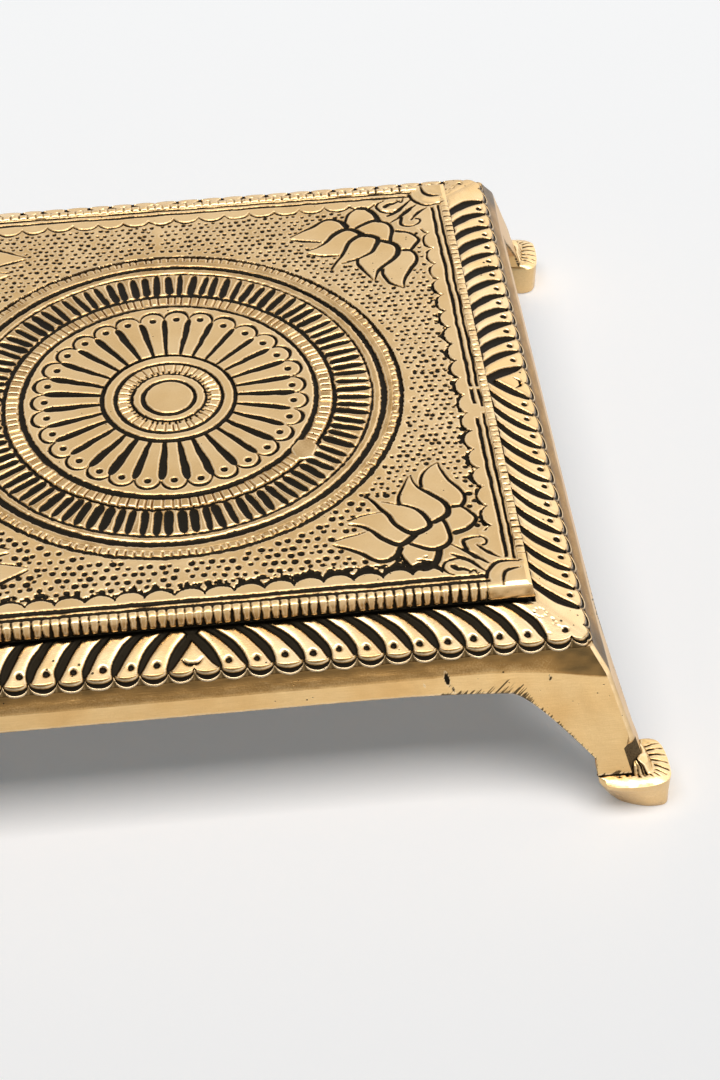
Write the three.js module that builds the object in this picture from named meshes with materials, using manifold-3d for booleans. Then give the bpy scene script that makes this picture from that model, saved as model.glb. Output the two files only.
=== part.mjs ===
// Bajot low table: a small square brass stool with a chased top plate, a gadrooned rim,
// flared arched sides and fan-shaped feet turned out on the diagonals.
// Millimetres, +Z up, +X right, +Y back, origin on the floor below the middle of the plate.
import * as THREE from 'three';
import { mergeVertices } from 'three/addons/utils/BufferGeometryUtils.js';
import Module from 'manifold-3d';

const wasm = await Module();
wasm.setup();

// Clearances
const seamGap = 0.3; // between two pieces that meet along a cut
const cutOver = 2; // how far a cutter runs past the faces that it cuts

// Top plate
const plateFaceHeight = 57.2; // floor to the chased face
const plateThickness = 4;
const plateHalf = 88.5; // middle to the top edge
const plateBevel = 0.9; // the bottom edge stands out this far beyond the top edge
const rimHeight = 1; // crest of the beaded rim above the face
const rimWidth = 2.45;
const rimRound = 0.5; // chamfer on both sides of the crest
const grooveSpacing = 2.55; // from the outer to the inner square groove
const grooveWidth = 0.7;
const grooveDepth = 0.6;
const groundDepth = 0.5; // the stippled ground lies this far below the face
const scallopPitch = 7.6;
const scallopRise = 1.5; // crown above valley
const scallopMargin = 2.6; // valley to the inner groove
const bossRadius = 9.4; // quarter-round boss in each corner of the plate
const bossInset = 1.2; // its middle from the plate's top edge

// Medallion
const medallionShift = 2.6; // its middle lies this far in front of the plate's middle
const medallionRadius = 64.7;
const ringRadii = [7.3, 10.4, 15, 18.6, 41.1, 59.7]; // middles of the engraved rings
const ringWidth = 0.9;
const petalCount = 31;
const petalCutInner = 19.6; // the cuts between petals run from here
const petalCutOuter = 34.6; // to here
const petalCutWidth = 2.1;
const fluteCount = 92;
const fluteCutInner = 46.6;
const fluteCutOuter = 55.6;
const fluteCutWidth = 1.7;

// Lotus flower in each corner of the ground: places along the diagonal from the plate's middle
const lotusInset = 27.2; // from the plate's corner to where the petals meet
const lotusReach = 26; // length of the middle petal
const lotusPetalWidth = 10.4;

// Border frame
const ledgeReach = 10.5; // the ledge that carries the plate runs this far inside its top edge
const ledgeThickness = 3;
const rootTuck = 0.9; // the tongues start this far inside the plate's top edge
const rootDrop = 0.3; // below the ledge's top
const tongueRun = 13.9; // from there out to where they turn down
const tongueFall = 3.4; // and down
const tipOut = 0.5; // the turned-down tip runs out this far
const tipDrop = 1.9; // and down this far
const lipOut = 1.5; // thin lip that rings the tips, beyond their crest
const lipDrop = 2; // its top below their crest
const lipThickness = 0.9;
const tongueRelief = 0.9; // tongues above the black gaps
const tonguePitch = 6.9;
const cornerTongue = 11.8; // from the last gap's tip to the corner
const tongueLean = 6.6; // the tip lies this far towards the corner from the root
const tongueGap = 2.5; // the gap between two tongues at their roots

// Side panels and their half legs
const bandOut = 1.8; // top edge of the plain flared band beyond the lip
const bandDrop = 1.6; // and below the lip's top
const bandWidth = 6.7; // upright, from its top edge to its bottom edge
const bandDip = 1.5; // its lower edge falls this much towards the legs
const bandDipRun = 34.6; // over this length
const legFlare = 11.1; // the leg's outer face at the foot beyond the band's top edge
const ankleHeight = 12.5;
const panelWall = 3;
const coveDepth = 0.4; // back of the hollow, behind the lip's edge
const coveCornerDrop = 4.7; // the band's top edge falls this much towards the corner
const coveCornerRun = 44; // over this length
const archInset = 24.2; // from the band's top corner to where the arch leaves the lower edge
const archBend = 4.6; // length of its first bend
const legWidth = 12.9; // half leg at the foot
const legHeel = 4.2; // height of the upright stretch above the foot

// Corner posts
const postTopWidth = 1.2; // visible bevel below the rim
const postWaistWidth = 1.6; // above the notch at the ankle
const notchTop = 23; // the notch starts here
const notchRise = 1.5; // reaches this width over this height
const notchWidth = 3;
const postBottomWidth = 4; // bevel at the ankle
const postHeadDepth = 5; // the post's head behind the panels
const postHeadWidth = 11;

// Feet: rounded squares in plan, turned out on the diagonals
const toeReach = 6.7; // the foot's outer side beyond the leg's outer face
const footHalf = 9.7; // middle of the foot to its sides, where it is widest
const footWaistHeight = 9.4; // height of the widest outline
const footCorner = 3.6; // how square the outline is: the power of its rounded shape
const footRimHeight = 12;
const footRimInset = 0.8; // the rim lies this far inside the widest outline
const footCrown = 3; // top of the fan above its rim
const crownHalf = 5; // half width of the fan's flat top
const bellyHeight = 4.6;
const bellyHalf = 6.9;
const soleRadius = 2.8;
const soleForward = 3; // middle of the sole beyond the foot's middle, towards the toe
const heelDepth = 10.1; // the heel is cut off upright, this far behind the leg's corner
const ribCount = 9;
const ribWidth = 0.8;
const ribDepth = 0.6;

// Hidden fixings
const rivetRadius = 1.5;
const rivetHeadRadius = 3;
const rivetHeadHeight = 1.2;
const rivetBite = 1.4; // into the plate
const rivetInset = 6.6; // from the plate's top edge
const footPinRadius = 1.5;
const footPinLength = 11;
const footPinDepth = 4.9; // middle of the pin behind the leg's faces

// Half widths that follow, from the middle of the table outwards
const diagonal = Math.SQRT2;
const ledgeHalf = plateHalf - ledgeReach;
const rootHalf = plateHalf - rootTuck;
const crestHalf = rootHalf + tongueRun;
const lipHalf = crestHalf + lipOut;
const coveHalf = lipHalf - coveDepth;
const bandTopHalf = lipHalf + bandOut;
const ankleHalf = bandTopHalf + legFlare;
const footOuter = ankleHalf + toeReach;
const archHalf = bandTopHalf - archInset;
const bandDipStart = archHalf - bandDipRun;
const lotusHeart = plateHalf * diagonal - lotusInset;
const heelCut = ankleHalf * diagonal - heelDepth;

// Heights that follow, from the chased face downwards
const plateBottom = plateFaceHeight - plateThickness;
const ledgeBottom = plateBottom - ledgeThickness;
const crestHeight = plateBottom - rootDrop - tongueFall;
const lipHeight = crestHeight - lipDrop;
const borderBottom = lipHeight - lipThickness;
const panelTop = borderBottom - seamGap;
const bandTopHeight = lipHeight - bandDrop;
const bandBottomHeight = bandTopHeight - bandWidth;
const flare = legFlare / (bandTopHeight - ankleHeight);
const faceHalf = (z) => bandTopHalf + (bandTopHeight - z) * flare;

// Rounding of arcs: parts per full turn
const ringParts = 40;
const smallParts = 12;
const squareParts = 4;
const sides = [0, 1, 2, 3];
const quarter = Math.PI / 2;
const sideNames = ['front', 'right', 'back', 'left'];
const cornerNames = ['front_right', 'back_right', 'back_left', 'front_left'];

// Turns a closed geometry into a solid that can be cut and joined
function solid(geometry) {
  const bare = geometry.clone();
  bare.deleteAttribute('normal');
  bare.deleteAttribute('uv');
  const merged = mergeVertices(bare);
  return new wasm.Manifold(new wasm.Mesh({
    numProp: 3,
    vertProperties: new Float32Array(merged.attributes.position.array),
    triVerts: new Uint32Array(merged.index.array),
  }));
}

// Turns a solid back into a geometry
function geometryOf(body) {
  const mesh = body.getMesh();
  const geometry = new THREE.BufferGeometry();
  geometry.setAttribute('position', new THREE.BufferAttribute(mesh.vertProperties, 3));
  geometry.setIndex(new THREE.BufferAttribute(mesh.triVerts, 1));
  const flat = geometry.toNonIndexed();
  flat.computeVertexNormals();
  return flat;
}

// Body of revolution about Z from [radius, height] points
function turned(points, parts) {
  const profile = points.map(([r, z]) => new THREE.Vector2(r, z));
  const geometry = new THREE.LatheGeometry(profile, parts);
  geometry.rotateX(quarter);
  return geometry;
}

// Four-sided body with mitred corners from [half width, height] points
function squared(points) {
  const geometry = turned(points.map(([half, z]) => [half * diagonal, z]), squareParts);
  geometry.rotateZ(quarter / 2);
  return solid(geometry);
}

// Prism of a plan outline between two heights
function prism(shape, low, high) {
  const geometry = new THREE.ExtrudeGeometry(shape, { depth: high - low, bevelEnabled: false });
  geometry.translate(0, 0, low);
  return geometry;
}

// Ring-shaped cutter about the medallion's middle
function ringCutter(inner, outer, low, high) {
  const points = [[inner, low], [outer, low], [outer, high], [inner, high], [inner, low]];
  return solid(turned(points, ringParts)).translate([0, -medallionShift, 0]);
}

// Copies of a body on all four sides, joined
function onFourSides(body) {
  const copies = sides.map((k) => body.rotate([0, 0, THREE.MathUtils.radToDeg(k * quarter)]));
  return wasm.Manifold.union(copies);
}

// Spindle outline, pointed at both ends, along +X
function spindle(start, end, width) {
  const shape = new THREE.Shape();
  const middle = (start + end) / 2;
  shape.moveTo(start, 0);
  shape.quadraticCurveTo(middle, -width, end, 0);
  shape.quadraticCurveTo(middle, width, start, 0);
  return shape;
}

// Spindle cuts set round the medallion
function radialCuts(count, start, end, width) {
  const low = plateFaceHeight - grooveDepth;
  const high = plateFaceHeight + cutOver;
  const options = { depth: high - low, bevelEnabled: false, curveSegments: 2 };
  const cuts = [];
  for (let k = 0; k < count; k += 1) {
    const geometry = new THREE.ExtrudeGeometry(spindle(start, end, width), options);
    geometry.rotateZ((k / count) * quarter * squareParts);
    geometry.translate(0, -medallionShift, low);
    cuts.push(solid(geometry));
  }
  return wasm.Manifold.union(cuts);
}

// Outline of the ground: a square with scalloped sides and a quarter-round bite at each corner
function groundShape() {
  const valley = plateHalf - rimWidth - grooveSpacing - scallopMargin;
  const bossMiddle = plateHalf - bossInset;
  const run = bossMiddle - bossRadius;
  const count = Math.floor((2 * run) / scallopPitch);
  const start = (-count * scallopPitch) / 2;
  const shape = new THREE.Shape();
  for (const k of sides) {
    const turn = (x, y) => new THREE.Vector2(x, y).rotateAround(new THREE.Vector2(), k * quarter);
    const first = turn(start, -valley);
    if (k === 0) shape.moveTo(first.x, first.y);
    else shape.lineTo(first.x, first.y);
    for (let n = 0; n < count; n += 1) {
      const crown = turn(start + (n + 1 / 2) * scallopPitch, scallopRise - valley + scallopRise);
      const next = turn(start + (n + 1) * scallopPitch, -valley);
      shape.quadraticCurveTo(crown.x, crown.y, next.x, next.y);
    }
    const bossIn = turn(valley, -run);
    const bossPull = turn(run, -run);
    const bossOut = turn(run, -valley);
    shape.lineTo(bossOut.x, bossOut.y);
    shape.quadraticCurveTo(bossPull.x, bossPull.y, bossIn.x, bossIn.y);
  }
  return shape;
}

// Lotus petal: pointed outline from its foot at the origin to its tip on +X
function petalShape(length, width) {
  const belly = length / 3;
  const shape = new THREE.Shape();
  shape.moveTo(0, 0);
  shape.bezierCurveTo(0, -width, belly + belly, -width / 2, length, 0);
  shape.bezierCurveTo(belly + belly, width / 2, 0, width, 0, 0);
  return shape;
}

// One lotus flower, opening from the front right corner towards the middle
function lotus() {
  const turnShares = [-1.04, -0.53, -0.3, 0, 0.3, 0.53, 1.04]; // of a quarter turn, from the diagonal
  const lengthShares = [0.46, 1.15, 1.02, 1, 1.02, 1.15, 0.46]; // of the middle petal
  const petals = turnShares.map((share, n) => {
    const shape = petalShape(lengthShares[n] * lotusReach, lotusPetalWidth);
    const options = { depth: groundDepth * 2, bevelEnabled: false, curveSegments: 3 };
    const geometry = new THREE.ExtrudeGeometry(shape, options);
    geometry.rotateZ(share * quarter);
    return solid(geometry);
  });
  const low = plateFaceHeight - groundDepth * 2;
  const flower = wasm.Manifold.union(petals).rotate([0, 0, THREE.MathUtils.radToDeg(quarter * 3 / 2)]);
  return flower.translate([lotusHeart / diagonal, -lotusHeart / diagonal, low]);
}

// Top plate with its rim, grooves, ground, medallion and corner flowers
function topPlate() {
  const crest = plateFaceHeight + rimHeight;
  const innerRim = plateHalf - rimWidth;
  const body = squared([
    [0, plateBottom], [plateHalf + plateBevel, plateBottom],
    [plateHalf, crest - rimRound], [plateHalf - rimRound, crest],
    [innerRim + rimRound, crest], [innerRim, plateFaceHeight], [0, plateFaceHeight],
  ]);
  const grooveFloor = plateFaceHeight - grooveDepth;
  const grooves = [innerRim - grooveWidth, innerRim - grooveSpacing].map((half) => squared([
    [half, grooveFloor], [half + grooveWidth, grooveFloor],
    [half + grooveWidth, plateFaceHeight + cutOver], [half, plateFaceHeight + cutOver], [half, grooveFloor],
  ]));
  const low = plateFaceHeight - groundDepth;
  const groundPrism = new THREE.ExtrudeGeometry(groundShape(), {
    depth: groundDepth + cutOver, bevelEnabled: false, curveSegments: 2,
  });
  groundPrism.translate(0, 0, low);
  const disc = solid(turned([
    [0, low - cutOver], [medallionRadius, low - cutOver],
    [medallionRadius, plateFaceHeight + cutOver * 2], [0, plateFaceHeight + cutOver * 2],
  ], ringParts)).translate([0, -medallionShift, 0]);
  const ground = solid(groundPrism).subtract(disc);
  const rings = ringRadii.map((r) => ringCutter(
    r - ringWidth / 2, r + ringWidth / 2, grooveFloor, plateFaceHeight + cutOver,
  ));
  const cuts = wasm.Manifold.union([
    ...grooves, ground, ...rings,
    radialCuts(petalCount, petalCutInner, petalCutOuter, petalCutWidth),
    radialCuts(fluteCount, fluteCutInner, fluteCutOuter, fluteCutWidth),
    onFourSides(rivetHole(plateBottom - cutOver, plateBottom + rivetBite + seamGap)),
  ]);
  return body.subtract(cuts).add(onFourSides(lotus()));
}

// Place of a plate rivet in the front right corner, as a distance from both middles
const rivetPlace = plateHalf - rivetInset;

// Clearance hole for the rivet in the front right corner
function rivetHole(low, high) {
  const r = rivetRadius + seamGap;
  const hole = turned([[0, low], [r, low], [r, high], [0, high]], smallParts);
  return solid(hole).translate([rivetPlace, -rivetPlace, 0]);
}

// Rivet with a round head below the ledge and a shank that ends inside the plate
function plateRivet() {
  const headLow = ledgeBottom - rivetHeadHeight;
  return solid(turned([
    [0, headLow], [rivetHeadRadius / 2, headLow], [rivetHeadRadius, ledgeBottom - rivetHeadHeight / 2],
    [rivetHeadRadius, ledgeBottom], [rivetRadius, ledgeBottom],
    [rivetRadius, plateBottom + rivetBite], [0, plateBottom + rivetBite],
  ], smallParts)).translate([rivetPlace, -rivetPlace, 0]);
}

// The sloping bed of the tongues
const slopeLength = Math.hypot(tongueRun, tongueFall);
const slopeAngle = Math.atan2(tongueFall, tongueRun);

// Lays a body drawn as x across, y outward and z inward onto the front slope
function onFrontSlope(geometry) {
  const across = new THREE.Vector3(1, 0, 0);
  const outward = new THREE.Vector3(0, -Math.cos(slopeAngle), -Math.sin(slopeAngle));
  const inward = new THREE.Vector3().crossVectors(across, outward);
  const frame = new THREE.Matrix4().makeBasis(across, outward, inward);
  geometry.applyMatrix4(frame);
  geometry.translate(0, -rootHalf, plateBottom - rootDrop);
  return solid(geometry);
}

// Black gap between two tongues: wide at the root, pointed at the crest, leaning to the corner
function gapShape(tip, lean) {
  const shape = new THREE.Shape();
  const bellyShare = 0.6; // of the slope, as far as the gap keeps its width
  const belly = tip + (bellyShare - 1) * lean;
  shape.moveTo(tip - lean - tongueGap / 2, 0);
  shape.lineTo(tip - lean + tongueGap / 2, 0);
  shape.lineTo(belly + tongueGap / 2, bellyShare * slopeLength);
  shape.lineTo(tip, slopeLength);
  shape.lineTo(belly - tongueGap / 2, bellyShare * slopeLength);
  return shape;
}

// Gaps between all tongues of the front side, the innermost pair leaving the heart
function frontGaps() {
  const gapsPerHalf = Math.round((crestHalf - cornerTongue) / tonguePitch);
  const gaps = [];
  for (const way of [-1, 1]) {
    for (let n = 1; n <= gapsPerHalf; n += 1) {
      const shape = gapShape(way * n * tonguePitch, way * tongueLean);
      const depth = cutOver + tongueRelief;
      const geometry = new THREE.ExtrudeGeometry(shape, { depth, bevelEnabled: false });
      geometry.translate(0, 0, -cutOver);
      gaps.push(onFrontSlope(geometry));
    }
  }
  return wasm.Manifold.union(gaps);
}

// Border frame: ledge for the plate, gadrooned slope and the lip that rings the tongues' tips
function borderFrame() {
  const under = ledgeThickness / Math.cos(slopeAngle);
  const innerHalf = coveHalf - panelWall - postHeadDepth;
  const innerFall = (innerHalf - rootHalf) * tongueFall / tongueRun;
  const ring = squared([
    [ledgeHalf, ledgeBottom], [rootHalf - under / 2, ledgeBottom],
    [innerHalf, plateBottom - rootDrop - innerFall - under], [innerHalf, borderBottom],
    [lipHalf, borderBottom], [lipHalf, lipHeight - lipThickness / 2],
    [lipHalf - lipThickness / 2, lipHeight], [lipHalf - lipThickness, lipHeight - lipThickness / 2],
    [crestHalf + tipOut, crestHeight - tipDrop], [crestHalf, crestHeight],
    [rootHalf, plateBottom - rootDrop], [rootHalf, plateBottom], [ledgeHalf, plateBottom],
    [ledgeHalf, ledgeBottom],
  ]);
  const holes = onFourSides(rivetHole(ledgeBottom - cutOver, plateBottom + cutOver));
  return ring.subtract(onFourSides(frontGaps())).subtract(holes);
}

// Skirt of flared wall between two depths behind its outer face, with the hollow below the lip
function skirt(outerDepth, innerDepth) {
  const coveLow = bandTopHeight;
  const shelf = outerDepth === 0 ? [[faceHalf(coveLow), coveLow]] : [];
  const outer = [
    [coveHalf - outerDepth, panelTop], [coveHalf - outerDepth, coveLow], ...shelf,
    [faceHalf(ankleHeight) - outerDepth, ankleHeight],
  ];
  const innerTop = coveHalf - innerDepth;
  return squared([
    ...outer,
    [faceHalf(ankleHeight) - innerDepth, ankleHeight], [innerTop, coveLow], [innerTop, panelTop],
    [coveHalf - outerDepth, panelTop],
  ].reverse());
}

// Cutter above the band's top edge, which falls towards both corners of the front side
function coveCornerCutter() {
  const end = faceHalf(ankleHeight) + cutOver;
  const start = bandTopHalf - coveCornerRun;
  const low = bandTopHeight - coveCornerDrop;
  const shapes = [-1, 1].map((way) => {
    const shape = new THREE.Shape();
    shape.moveTo(way * start, bandTopHeight);
    shape.quadraticCurveTo(way * (start + coveCornerRun / 2), bandTopHeight, way * bandTopHalf, low);
    shape.lineTo(way * end, low);
    shape.lineTo(way * end, panelTop + cutOver);
    shape.lineTo(way * start, panelTop + cutOver);
    return shape;
  });
  const depth = end - coveHalf;
  const cutters = shapes.map((shape) => {
    const geometry = new THREE.ExtrudeGeometry(shape, { depth, bevelEnabled: false, curveSegments: 4 });
    geometry.rotateX(quarter);
    geometry.translate(0, -coveHalf, 0);
    return solid(geometry);
  });
  return wasm.Manifold.union(cutters);
}

// Opening below the front band, between its two half legs
function archCutter() {
  const heel = ankleHalf - legWidth;
  const heelTop = ankleHeight + legHeel;
  const reach = ankleHalf + cutOver;
  const shape = new THREE.Shape();
  shape.moveTo(-heel, ankleHeight - cutOver);
  shape.lineTo(heel, ankleHeight - cutOver);
  shape.lineTo(heel, heelTop);
  const shoulder = bandBottomHeight - bandDip;
  shape.quadraticCurveTo(archHalf + archBend, shoulder, archHalf, shoulder);
  shape.quadraticCurveTo((archHalf + bandDipStart) / 2, bandBottomHeight, bandDipStart, bandBottomHeight);
  shape.lineTo(-bandDipStart, bandBottomHeight);
  shape.quadraticCurveTo((archHalf + bandDipStart) / -2, bandBottomHeight, -archHalf, shoulder);
  shape.quadraticCurveTo(-archHalf - archBend, shoulder, -heel, heelTop);
  const geometry = new THREE.ExtrudeGeometry(shape, { depth: reach, bevelEnabled: false, curveSegments: 6 });
  geometry.rotateX(quarter);
  return solid(geometry);
}

// Widths of the corner's bevel from the ankle up, as [height, width]
const bevelWidths = [
  [ankleHeight, postBottomWidth], [notchTop - notchRise, notchWidth],
  [notchTop, postWaistWidth], [panelTop, postTopWidth],
];

// Upright slab on the front right diagonal, as wide as the bevel and this much more
function bevelSlab(extra) {
  const rising = bevelWidths.map(([z, width]) => new THREE.Vector2((width + extra) / 2, z));
  const falling = rising.map((point) => new THREE.Vector2(-point.x, point.y)).reverse();
  return diagonalSlab(new THREE.Shape([...rising, ...falling]));
}

// Upright slab of the given outline, set across the front right diagonal
function diagonalSlab(shape) {
  const geometry = new THREE.ExtrudeGeometry(shape, { depth: ankleHalf * 2, bevelEnabled: false });
  geometry.rotateX(quarter);
  geometry.rotateZ(quarter / 2);
  return solid(geometry);
}

// One side panel with its two half legs
function sidePanel() {
  const reach = ankleHalf + cutOver;
  const wedge = new THREE.Shape();
  wedge.moveTo(0, 0);
  wedge.lineTo(-reach, -reach);
  wedge.lineTo(reach, -reach);
  const sector = solid(prism(wedge, ankleHeight - cutOver, panelTop + cutOver));
  const mitre = bevelSlab(seamGap + seamGap);
  const mitres = mitre.add(mitre.rotate([0, 0, -THREE.MathUtils.radToDeg(quarter)]));
  const cuts = wasm.Manifold.union([coveCornerCutter(), archCutter(), mitres]);
  return skirt(0, panelWall).intersect(sector).subtract(cuts);
}

// Corner post: a T in section, whose narrow edge is the bevel between two panels
function cornerPost() {
  const neck = skirt(0, panelWall + postHeadDepth).intersect(bevelSlab(0));
  const headOutline = new THREE.Shape();
  headOutline.moveTo(-postHeadWidth / 2, ankleHeight);
  headOutline.lineTo(postHeadWidth / 2, ankleHeight);
  headOutline.lineTo(postHeadWidth / 2, panelTop);
  headOutline.lineTo(-postHeadWidth / 2, panelTop);
  const head = skirt(panelWall + seamGap, panelWall + postHeadDepth).intersect(diagonalSlab(headOutline));
  const coves = coveCornerCutter().add(coveCornerCutter().rotate([0, 0, THREE.MathUtils.radToDeg(quarter)]));
  return neck.add(head).subtract(coves).subtract(bevelCutter()).subtract(footPinHole());
}

// Cuts the sharp corner of the post back to its bevel
function bevelCutter() {
  const beyond = faceHalf(ankleHeight) * diagonal + postHeadWidth;
  const edge = bevelWidths.map(([z, width]) => new THREE.Vector2(faceHalf(z) * diagonal - width / 2, z));
  const shape = new THREE.Shape([
    ...edge, new THREE.Vector2(beyond, panelTop), new THREE.Vector2(beyond, ankleHeight),
  ]);
  const geometry = new THREE.ExtrudeGeometry(shape, { depth: postHeadWidth, bevelEnabled: false });
  geometry.translate(0, 0, -postHeadWidth / 2);
  geometry.rotateX(quarter);
  geometry.rotateZ(-quarter / 2);
  return solid(geometry);
}

// Cylinder along the leg's slope on the front right diagonal, about the joint of leg and foot
function slopedPin(radius, length) {
  const geometry = new THREE.CylinderGeometry(radius, radius, length, smallParts);
  geometry.rotateX(quarter);
  geometry.rotateY(-Math.atan(flare * diagonal));
  geometry.translate((ankleHalf - footPinDepth) * diagonal, 0, ankleHeight);
  geometry.rotateZ(-quarter / 2);
  return solid(geometry);
}

function footPinHole() {
  return slopedPin(footPinRadius + seamGap, footPinLength + 2 * seamGap);
}

// Fan-shaped foot: a bowl below, a crowned top with radial grooves, and a flat seat for the leg
function foot() {
  const middle = footOuter - footHalf;
  const crownTop = footRimHeight + footCrown;
  const geometry = turned([
    [0, 0], [soleRadius, 0], [bellyHalf, bellyHeight], [footHalf, footWaistHeight],
    [footHalf - footRimInset, footRimHeight], [crownHalf, crownTop], [0, crownTop],
  ], ringParts / 2);
  squareOff(geometry);
  const lean = soleForward / diagonal / footWaistHeight;
  const points = geometry.attributes.position;
  for (let n = 0; n < points.count; n += 1) {
    const shift = Math.max(footWaistHeight - points.getZ(n), 0) * lean;
    points.setXY(n, points.getX(n) + middle + shift, points.getY(n) - middle - shift);
  }
  const seat = ankleHeight - seamGap;
  const high = crownTop + cutOver;
  const leg = squared([
    [0, seat], [faceHalf(seat) + seamGap, seat], [faceHalf(high) + seamGap, high], [0, high],
  ]);
  const cuts = wasm.Manifold.union([leg, heelCutter(), fanGrooves(middle, crownTop), footPinHole()]);
  return solid(geometry).subtract(cuts);
}

// Makes a round body's outline a rounded square, and leaves its sole round
function squareOff(geometry) {
  const points = geometry.attributes.position;
  for (let n = 0; n < points.count; n += 1) {
    const angle = Math.atan2(points.getY(n), points.getX(n));
    const across = Math.abs(Math.cos(angle)) ** footCorner + Math.abs(Math.sin(angle)) ** footCorner;
    const square = across ** (-1 / footCorner);
    const rise = Math.min(points.getZ(n) / footWaistHeight, 1);
    const stretch = 1 + (square - 1) * rise;
    points.setXY(n, points.getX(n) * stretch, points.getY(n) * stretch);
  }
}

// Block behind the upright heel
function heelCutter() {
  const width = footHalf * squareParts;
  const high = footRimHeight + footCrown + cutOver;
  const geometry = new THREE.BoxGeometry(footHalf * 2, width, high + cutOver);
  geometry.translate(heelCut - footHalf, 0, (high - cutOver) / 2);
  geometry.rotateZ(-quarter / 2);
  return solid(geometry);
}

// Grooves that fan out over the toe from the ankle, sunk into the slope below the fan's flat top
function fanGrooves(middle, crownTop) {
  const fall = Math.atan2(footCrown, footHalf - footRimInset - crownHalf);
  const reach = footHalf + footHalf;
  const grooves = [];
  for (let n = 0; n < ribCount; n += 1) {
    const swing = ((n + 1 / 2) / ribCount - 1 / 2) * (quarter + quarter / 2);
    const geometry = new THREE.BoxGeometry(reach, ribWidth, ribDepth + ribDepth);
    geometry.translate(reach / 2, 0, 0);
    geometry.rotateY(fall);
    geometry.rotateZ(swing - quarter / 2);
    geometry.translate(middle, -middle, crownTop + crownHalf * Math.tan(fall));
    grooves.push(solid(geometry));
  }
  return wasm.Manifold.union(grooves);
}

// Brass with the tone of each piece
function brass(color, roughness) {
  return new THREE.MeshStandardMaterial({ color, roughness, metalness: 1 });
}
const polishedBrass = () => brass(0xd9b36c, 0.28);
const chasedBrass = () => brass(0xc9a35f, 0.34);
const brushedBrass = () => brass(0xd2ab66, 0.38);
const fixingBrass = () => brass(0xb58f4e, 0.45);

const table = new THREE.Group();

// Adds one named piece, turned about Z by quarter turns
function place(name, body, material, turns) {
  const mesh = new THREE.Mesh(geometryOf(body), material);
  mesh.name = name;
  mesh.rotation.z = turns * quarter;
  table.add(mesh);
}

place('top_plate', topPlate(), chasedBrass(), 0);
place('border_frame', borderFrame(), chasedBrass(), 0);
const panel = sidePanel();
const post = cornerPost();
const toe = foot();
const rivet = plateRivet();
const pin = slopedPin(footPinRadius, footPinLength);
for (const k of sides) {
  place(`${sideNames[k]}_panel`, panel, brushedBrass(), k);
  place(`${cornerNames[k]}_post`, post, brushedBrass(), k);
  place(`${cornerNames[k]}_foot`, toe, polishedBrass(), k);
  place(`${cornerNames[k]}_plate_rivet`, rivet, fixingBrass(), k);
  place(`${cornerNames[k]}_foot_pin`, pin, fixingBrass(), k);
}

export default table;
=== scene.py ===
"""Bajot: a small square brass stool with a chased top and a gadrooned rim, in a plain studio.

Lengths are in millimetres until a mesh is made. The floor is at height zero, the stool stands
over the origin, X runs to the right along the front edge and Y to the back.
"""

import logging
import math
from dataclasses import dataclass, field
from enum import Enum
from typing import Callable, Optional, Sequence

import bmesh
import bpy
import numpy as np
from mathutils import Matrix, Vector
from mathutils.kdtree import KDTree


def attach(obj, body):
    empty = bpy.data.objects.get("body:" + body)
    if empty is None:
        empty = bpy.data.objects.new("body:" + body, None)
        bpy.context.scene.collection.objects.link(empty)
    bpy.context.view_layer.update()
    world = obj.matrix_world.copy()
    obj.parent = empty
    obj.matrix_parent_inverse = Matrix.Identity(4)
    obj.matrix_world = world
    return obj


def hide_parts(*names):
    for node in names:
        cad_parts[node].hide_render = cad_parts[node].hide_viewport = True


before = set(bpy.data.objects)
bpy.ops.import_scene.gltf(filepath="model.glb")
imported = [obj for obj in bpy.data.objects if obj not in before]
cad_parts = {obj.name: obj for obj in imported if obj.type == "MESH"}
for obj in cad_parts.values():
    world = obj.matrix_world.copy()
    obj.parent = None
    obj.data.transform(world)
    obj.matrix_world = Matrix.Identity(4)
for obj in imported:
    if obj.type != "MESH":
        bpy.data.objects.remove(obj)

LOG = logging.getLogger("bajot")
MM = 0.001
FAR = 9.0
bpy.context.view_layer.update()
Array = np.ndarray
Spot = tuple[float, float]
Points = Sequence[Spot]
Triple = tuple[float, float, float]
Colour = Triple
Socket = bpy.types.NodeSocket
Thing = bpy.types.Object


class Labelled(Enum):
    """Places on the stool that take part in the names of pieces."""

    @property
    def label(self) -> str:
        """The place's word in piece names."""
        return self.name.lower()


class Corner(Labelled):
    """A corner of the stool, as the signs of its X and Y."""

    FRONT_RIGHT = (1, -1)
    BACK_RIGHT = (1, 1)
    BACK_LEFT = (-1, 1)
    FRONT_LEFT = (-1, -1)


class Side(Labelled):
    """A side of the stool, as quarter turns from the front."""

    FRONT = 0
    RIGHT = 1
    BACK = 2
    LEFT = 3

    def turned(self, x: Array, y: Array) -> tuple[Array, Array]:
        """Turns places across and in depth from the front side to this side."""
        c, s = ((1, 0), (0, 1), (-1, 0), (0, -1))[self.value]
        return c * x - s * y, s * x + c * y


def eased(share: Array) -> Array:
    """Smooth step from 0 to 1."""
    t = np.clip(share, 0.0, 1.0)
    return t * t * (3.0 - 2.0 * t)


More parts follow.
